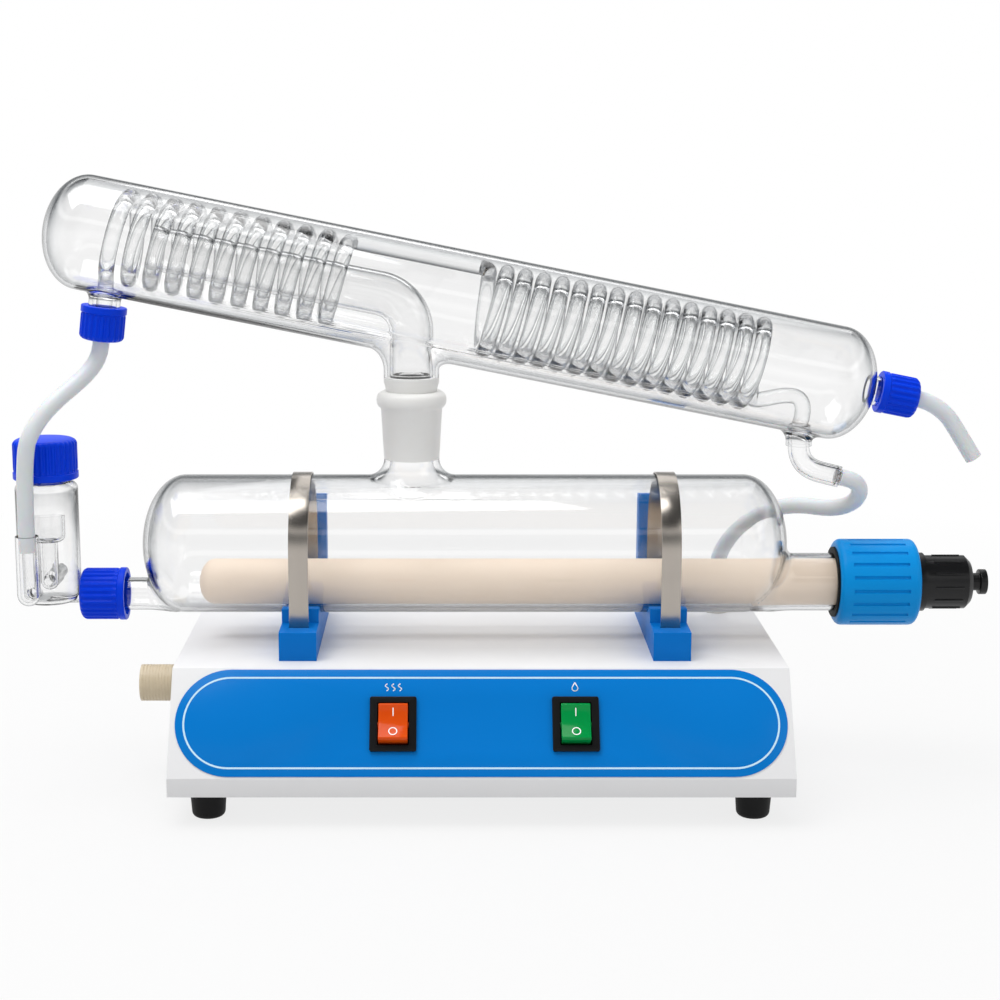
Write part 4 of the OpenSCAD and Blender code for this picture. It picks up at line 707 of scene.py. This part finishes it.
def ribbed_cap(d, h, ribs, bore, hole, place):
    """A cap turned in one, with ribs drawn on its side, open at its low end."""
    r = d / 2
    side = r - 0.75
    bore_r = bore / 2 + 0.05
    outline = [(bore_r, 0), (r - 0.4, 0), (r, 0.4), (r, rim_h - 0.3), (r - 0.3, rim_h)]
    outline += [(side, rim_h + 0.3 + (h - rim_h - 0.3 - round_r) * i / 12) for i in range(13)]
    outline += arc(side - round_r, h - round_r, round_r, round_r, 0, 90, 8)
    if hole:
        outline += [(hole / 2 + 0.5, h), (hole / 2 + 0.2, h - 0.3), (hole / 2 + 0.2, h - top_t)]
    else:
        outline += [(0, h), (0, h - top_t)]
    outline += [(bore_r, h - top_t), (bore_r, 0)]
    bm = turned(outline, steps=ribs * 8)
    foot = rim_h + 0.1
    for vertex in bm.verts:
        x, y, z = vertex.co
        reach = math.hypot(x, y)
        if reach > side - round_r - 0.01 and z > foot and reach > bore / 2 + 0.3:
            fade = min(1, (z - foot) / 1.2) * min(1, max(0, (h - z) / top_t))
            wave = max(-0.6, min(0.6, math.cos(math.atan2(y, x) * ribs))) / 0.6
            vertex.co.x += x / reach * rib_depth * fade * wave
            vertex.co.y += y / reach * rib_depth * fade * wave
    bmesh.ops.transform(bm, matrix=place, verts=bm.verts)
    return bm


cap_start = -205
cap_l = 26
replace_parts(piece(ribbed_cap(30.6, cap_l, 26, 24.4, 11, along(cap_start, inlet_z, -90)), "inlet_cap_shell",
    "inlet_cap", cap_blue, 40), "boiler_inlet_cap")
paint("boiler_inlet_seal", red_seal)


# Level vessel: a blown glass bottle whose arm is held in the boiler's inlet cap, with a side tube for
# the feed hose and an overflow pipe inside it. Its cap is a large ribbed one with a foam liner.
def rod(r, low, high, place):
    """A plain round rod, along Z before it is placed."""
    return turned([(0, low), (r, low), (r, high), (0, high)], place, 48)


def round_foot(r, middle, top, place):
    """A rod with a half round foot."""
    return turned([(0, middle - r)] + arc(0, middle, r, r, -84, 0, 10) + [(r, top), (0, top)], place, 64)


vessel_r = 18
vessel_x = cap_start - cap_l - 0.8 - vessel_r
vessel_low = 102
vessel_t = 1.8
foot_round = 5
foot_ring = vessel_r - foot_round
shoulder_z = 168
shoulder_round = 4.4
mouth_r = 15
mouth_low = 173
mouth_top = 192
bore_r = mouth_r - vessel_t
body = [(0, vessel_low)] + arc(foot_ring, vessel_low + foot_round, foot_round, foot_round, -90, 0, 8) \
    + arc(vessel_r - shoulder_round, shoulder_z, shoulder_round, shoulder_round, 0, 80, 8) \
    + [(mouth_r, mouth_low), (mouth_r, mouth_top), (0, mouth_top)]
hollow_round = foot_round - vessel_t
hollow = [(0, vessel_low + vessel_t)] \
    + arc(foot_ring, vessel_low + foot_round, hollow_round, hollow_round, -90, 0, 8) \
    + [(vessel_r - vessel_t, shoulder_z - 0.5), (bore_r, mouth_low - 2), (bore_r, mouth_top + 2),
        (0, mouth_top + 2)]
side_r = 6.6
side_left = 7.2
side_x = vessel_x - side_left
side_y = -math.sqrt((vessel_r + side_r + 0.3) ** 2 - side_left ** 2)
side_foot = vessel_low + 9
side_top = 145
link_l = 18
arm_l = cap_start - 12 - vessel_x
upright = Matrix.Translation((vessel_x, 0, 0))
arm_place = along(vessel_x, inlet_z)
side_place = Matrix.Translation((side_x, side_y, 0))
link_place = Matrix.Translation((side_x, side_y, side_foot)) \
    @ Matrix.Rotation(math.atan2(-side_y, side_left), 4, "Z") @ Matrix.Rotation(math.radians(90), 4, "Y")
spigot_place = Matrix.Translation((vessel_x, 15, 114)) @ Matrix.Rotation(math.radians(-90), 4, "X")
outer = joined(turned(body, upright), rod(5.5, 0, arm_l, arm_place),
    round_foot(side_r, side_foot, side_top, side_place), rod(4.55, 0, link_l, link_place))
inner = joined(turned(hollow, upright), rod(4, 0, arm_l + 1, arm_place),
    round_foot(4.85, side_foot, side_top + 1, side_place), rod(2.8, 0, link_l, link_place),
    rod(5.25, 0, 8, spigot_place))
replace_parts(piece(combined(outer, inner, "DIFFERENCE"), "level_glass", "root",
    clear_glass, 50), "level_vessel")
remade("overflow_standpipe", "overflow_pipe", "root", clear_glass, sharp=50)
# Pressed foam is a dull white.
white_liner = surface("white_foam_liner", "#EDEDEB", "#F3F3F1", 6, 0.6, 0.4, 0.03)
paint("level_cap_liner", white_liner)
lid_z = 174.5
lid_h = 22.8
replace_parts(piece(ribbed_cap(37.4, lid_h, 34, 30, 0, Matrix.Translation((vessel_x, 0, lid_z))),
    "level_cap_shell", "level_cap", cap_blue, 40), "level_cap")


# Condenser: a wide borosilicate jacket on a slope, with domed ends, a steam neck down to the cone, a
# feed nozzle near its high end, an outlet nozzle at its low end and a boss for the water elbow.
slope = math.radians(11.31)
jacket_r = 32.5
jacket_t = 2.2
jacket_dome = 23
jacket_high = -210
jacket_low = 269
jacket_z = 278
steam_neck_r = 15.8
steam_neck_bore_r = 13.9
feed_s = 173.4
feed_lean = math.radians(7)
feed_r = 9
outlet_s = 272
outlet_r = 8.5
nozzle_t = 2
elbow_s = 222.2
boss_r = 7.4
on_condenser = Matrix.Translation((joint_x, 0, jacket_z)) @ Matrix.Rotation(slope, 4, "Y")
lengthwise = on_condenser @ Matrix.Rotation(math.radians(90), 4, "Y")
feed_x = joint_x - feed_s
feed_z = jacket_z + feed_s * math.tan(slope) - jacket_r / math.cos(slope) - 2.7
feed_place = Matrix.Translation((feed_x, 0, feed_z)) @ Matrix.Rotation(math.pi, 4, "X") \
    @ Matrix.Rotation(-feed_lean, 4, "Y")
outlet_place = on_condenser @ Matrix.Translation((outlet_s, 0, 0)) \
    @ Matrix.Rotation(math.radians(90), 4, "Y")
elbow_x = joint_x + elbow_s
upside_down = Matrix.Diagonal((1, 1, -1, 1))
downwards = Matrix.Translation((joint_x, 0, jacket_z)) @ upside_down
under_elbow = Matrix.Translation((elbow_x, 0, jacket_z - elbow_s * math.tan(slope))) @ upside_down


def under_jacket(r):
    """Depth of the jacket's sloping wall under its axis, beside a neck that points down."""
    return lambda x, y: x * math.tan(slope) + math.sqrt(max(0, r * r - y * y)) / math.cos(slope)


def hanging(r, top, flare, wall_r, place, steps=96):
    """A neck that points down from the jacket, with its mirrored faces turned outwards again."""
    bm = neck(r, top, flare, under_jacket(wall_r), place, steps=steps)
    bmesh.ops.reverse_faces(bm, faces=bm.faces)
    return bm


def nozzle(r, top, flare, place):
    """A nozzle that spreads to a flare of (foot, radius, middle, height) where it meets the jacket."""
    foot, wide, middle, height = flare
    return turned([(0, foot), (wide, foot)] + arc(middle, height, 6, 6, -110, -180, 8) + [(r, top), (0, top)],
        place, 64)


hollow_r = jacket_r - jacket_t
outer = joined(
    turned(capsule(jacket_r, jacket_high, jacket_low, jacket_dome), lengthwise, 128),
    hanging(steam_neck_r, 45, 8, jacket_r, downwards),
    nozzle(feed_r, 19.6, (-14, 17, 15, 0.8), feed_place),
    nozzle(outlet_r, 17, (-16, 13.5, 14.5, -2.5), outlet_place),
    hanging(boss_r, 7 + jacket_r / math.cos(slope), 5, jacket_r, under_elbow, 64))
inner = joined(
    turned(capsule(hollow_r, jacket_high + jacket_t, jacket_low - jacket_t, jacket_dome - jacket_t),
        lengthwise, 128),
    hanging(steam_neck_bore_r, 46, 10.2, hollow_r, downwards),
    rod(feed_r - nozzle_t, -24, 30, feed_place),
    rod(outlet_r - nozzle_t, -24, 30, outlet_place),
    rod(6.25, -85, -60, Matrix.Translation((elbow_x, 0, jacket_z))))
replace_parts(piece(combined(outer, inner, "DIFFERENCE"), "jacket_glass", "root",
    clear_glass, 50), "condenser_jacket")


# Steam tube: clear glass tube, bent hot with an even wall. It rises through the neck and turns up the
# jacket's axis into the upper winding, where the steam comes out over the cold coil.
bend_r = 22
bend_z = jacket_z + bend_r * (1 - math.sin(slope)) * math.tan(slope) - 1 / math.cos(slope) \
    - bend_r * math.cos(slope)
bend_foot = Vector((joint_x, 0, 233))
steam_d = 25
steam_bore = 21.8
tail_l = 130
step = (math.pi / 2 - slope) / 4
handle = bend_r * step / 3
steam_route = []
for i in range(5):
    a = step * i
    here = Vector((joint_x - bend_r + bend_r * math.cos(a), 0, bend_z + bend_r * math.sin(a)))
    way = Vector((-math.sin(a), 0, math.cos(a)))
    back = handle if i else (here - bend_foot).length / 3
    steam_route.append((here, here - way * back, here + way * (handle if i < 4 else tail_l / 3)))
bend_start, bend_end = steam_route[0][0], steam_route[-1][0]
tail_end = bend_end + tail_l * Vector((-math.cos(slope), 0, math.sin(slope)))
steam_route = [(bend_foot, bend_foot, bend_foot.lerp(bend_start, 0.33))] + steam_route \
    + [(tail_end, tail_end.lerp(bend_end, 0.33), tail_end)]
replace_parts(piece(hose(steam_route, steam_d, steam_bore, 48), "steam_pipe", "root",
    clear_glass, 50), "steam_tube")


# Cooling coil: two windings of thin glass tube, wound on a mandrel, with a straight run between them.
# The thin wall hardly bends the light, so it is a rod of low index with painted shade: bright in the middle,
# with a painted pale line where its bore begins and a painted dark one round its outside.
coil_glass = glass("drawn_coil_glass", ((0.0, "#FFFFFF"), (0.26, "#F6F7F7"), (0.33, "#CDCFD1"),
    (0.39, "#F2F3F3"), (0.48, "#E6E7E8"), (0.58, "#8A8D90"), (0.8, "#4A4D50")), 1.13)
coil_glass.node_tree.nodes["Principled BSDF"].inputs["Coat Weight"].default_value = 0.8
coil_d = 9.2
coil_r = 23
coil_lift = 1.5
run_n = coil_lift + coil_r
ease = 5
upper_start = -170
upper_pitch = 12.5
upper_first, upper_last = -70, 3650
lower_pitch = 10.6
lower_first, lower_last = 130, 5640


def placed(s, y, n):
    """A place given along and square to the condenser's axis."""
    return Vector((joint_x + s * math.cos(slope) + n * math.sin(slope), y,
        jacket_z - s * math.sin(slope) + n * math.cos(slope)))


def winding(start, pitch, first, last):
    """Places on a winding round the condenser's axis, 15 degrees apart."""
    steps = math.ceil((last - first) / 15)
    turns = [first + (last - first) * i / steps for i in range(steps + 1)]
    return [placed(start + pitch * (a - first) / 360, -coil_r * math.cos(math.radians(a)),
        coil_lift + coil_r * math.sin(math.radians(a))) for a in turns]


def feed_axis(d):
    """A place down the feed nozzle's axis."""
    return Vector((feed_x - d * math.sin(feed_lean), 0, feed_z - d * math.cos(feed_lean)))


upper = winding(upper_start, upper_pitch, upper_first, upper_last)
run_start = upper_start + upper_pitch * (upper_last - upper_first) / 360 + ease
run_end = run_start + 72
way_in = (upper[1] - upper[0]).normalized()
way_out = (upper[-1] - upper[-2]).normalized()
upper_line = [feed_axis(8), feed_axis(0)] \
    + bezier(feed_axis(0), feed_axis(-coil_d), upper[0] - coil_d * way_in, upper[0], 7) + upper[1:] \
    + bezier(upper[-1], upper[-1] + ease * way_out, placed(run_start - ease, 0, run_n),
        placed(run_start, 0, run_n), 7) + [placed(run_end, 0, run_n)]
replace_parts(piece(drawn(upper_line, coil_d, 0, 16), "upper_winding", "root", coil_glass, 60),
    "upper_coil")
lower = winding(run_end + ease, lower_pitch, lower_first, lower_last)
way_in = (lower[1] - lower[0]).normalized()
way_out = (lower[-1] - lower[-2]).normalized()
foot = Vector((elbow_x, 0, jacket_z - 73))
lower_top = placed(run_end + 0.05, 0, run_n)
lower_line = [lower_top] \
    + bezier(lower_top, placed(run_end + ease, 0, run_n), lower[0] - ease * way_in, lower[0], 7) \
    + lower[1:] + bezier(lower[-1], lower[-1] + 12 * way_out, foot + Vector((coil_d, 0, 32)), foot, 18)
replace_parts(piece(drawn(lower_line, coil_d, 0, 16), "lower_winding", "root", coil_glass, 60),
    "lower_coil")


# Water elbow: a glass tube sealed under the jacket that carries the water out. It narrows to a plain
# nozzle, and the hose is pushed over that.
elbow_neck = Vector((elbow_x + 14, 0, jacket_z - 100.5))
elbow_face = Vector((elbow_x + 24, 0, jacket_z - 103))
elbow_way = (elbow_face - elbow_neck).normalized()
elbow_turn = Vector((elbow_x, 0, jacket_z - 84))
elbow_route = [(foot - Vector((0, 0, 0.1)), foot, foot - Vector((0, 0, 4))),
    (elbow_turn, elbow_turn + Vector((0, 0, 4)), elbow_turn - Vector((0, 0, 12))),
    (elbow_neck, elbow_neck - elbow_way * 6, elbow_neck + elbow_way * 3),
    (elbow_face, elbow_face - elbow_way * 3, elbow_face + elbow_way)]
elbow_d = 12.4
elbow_bore = 9
tip_d = 6.4
tip_bore = 3.2
tip_l = 6
elbow = joined(hose(elbow_route, elbow_d, elbow_bore, 32),
    drawn([elbow_face - elbow_way * 2.6, elbow_face - elbow_way * 0.1], 10.6, 3.6, 32),
    drawn([elbow_face - elbow_way * 1.5, elbow_face + elbow_way * tip_l], tip_d, tip_bore, 24))
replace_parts(piece(elbow, "elbow_glass", "root", clear_glass, 50), "water_elbow")


# Caps of the feed nozzle and the outlet nozzle: small ribbed ones of the same blue polypropylene. Each
# is screwed on over a red silicone seal that grips the hose in it.
paint("feed_nozzle_seal", red_seal)
paint("outlet_seal", red_seal)
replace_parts(piece(ribbed_cap(26, 19.5, 22, 18, hose_d, feed_place @ Matrix.Translation((0, 0, 3.6))),
    "feed_cap_shell", "feed_cap", cap_blue, 40), "feed_nozzle_cap")
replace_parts(piece(ribbed_cap(24, 22, 20, 17, hose_d, outlet_place), "outlet_cap_shell", "outlet_cap",
    cap_blue, 40), "outlet_cap")


# Feed hose and cooling water hose: the same silicone hose, held at both ends. The feed hose hangs into
# the side tube, and the water hose runs behind the boiler to the barb on the housing.
lid_top = lid_z + lid_h
feed_pass = Vector((side_x + 3, side_y - 1, lid_top + 2))
side_mouth = Vector((side_x, side_y, side_top))
feed_route = [(feed_axis(8.05), feed_axis(2), feed_axis(14)),
    (feed_axis(26), feed_axis(20), feed_axis(48)),
    (feed_pass, Vector((side_x + 14, side_y + 3, lid_top + 30)), Vector((side_x, side_y - 1, lid_top - 9))),
    (side_mouth, side_mouth + Vector((0, 0, 18)), side_mouth - Vector((0, 0, 3))),
    (side_mouth - Vector((0, 0, 9)), side_mouth - Vector((0, 0, 6)), side_mouth - Vector((0, 0, 12)))]
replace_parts(piece(hose(feed_route, hose_d, hose_bore, hose_sides), "feed_hose_tube", "root",
    silicone, 35), "feed_hose")
water_bore = 6.5
near = elbow_face + elbow_way * tip_l
behind_boiler = elbow_face + Vector((-8, 28, -23))
barb = Vector((147, 62, 83))
water_route = [(elbow_face + elbow_way * 0.1, elbow_face, elbow_face + elbow_way * 3),
    (near, near - elbow_way, near + elbow_way * 12),
    (behind_boiler, elbow_face + Vector((16, 10, -24)), elbow_face + Vector((-38, 51, -22))),
    (barb + Vector((0, 0, 22)), barb + Vector((0, 0, 44)), barb + Vector((0, 0, 14))),
    (barb + Vector((0, 0, 0.05)), barb + Vector((0, 0, 8)), barb)]
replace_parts(piece(hose(water_route, hose_d, water_bore, hose_sides), "water_hose_tube", "root",
    silicone, 35), "water_hose")
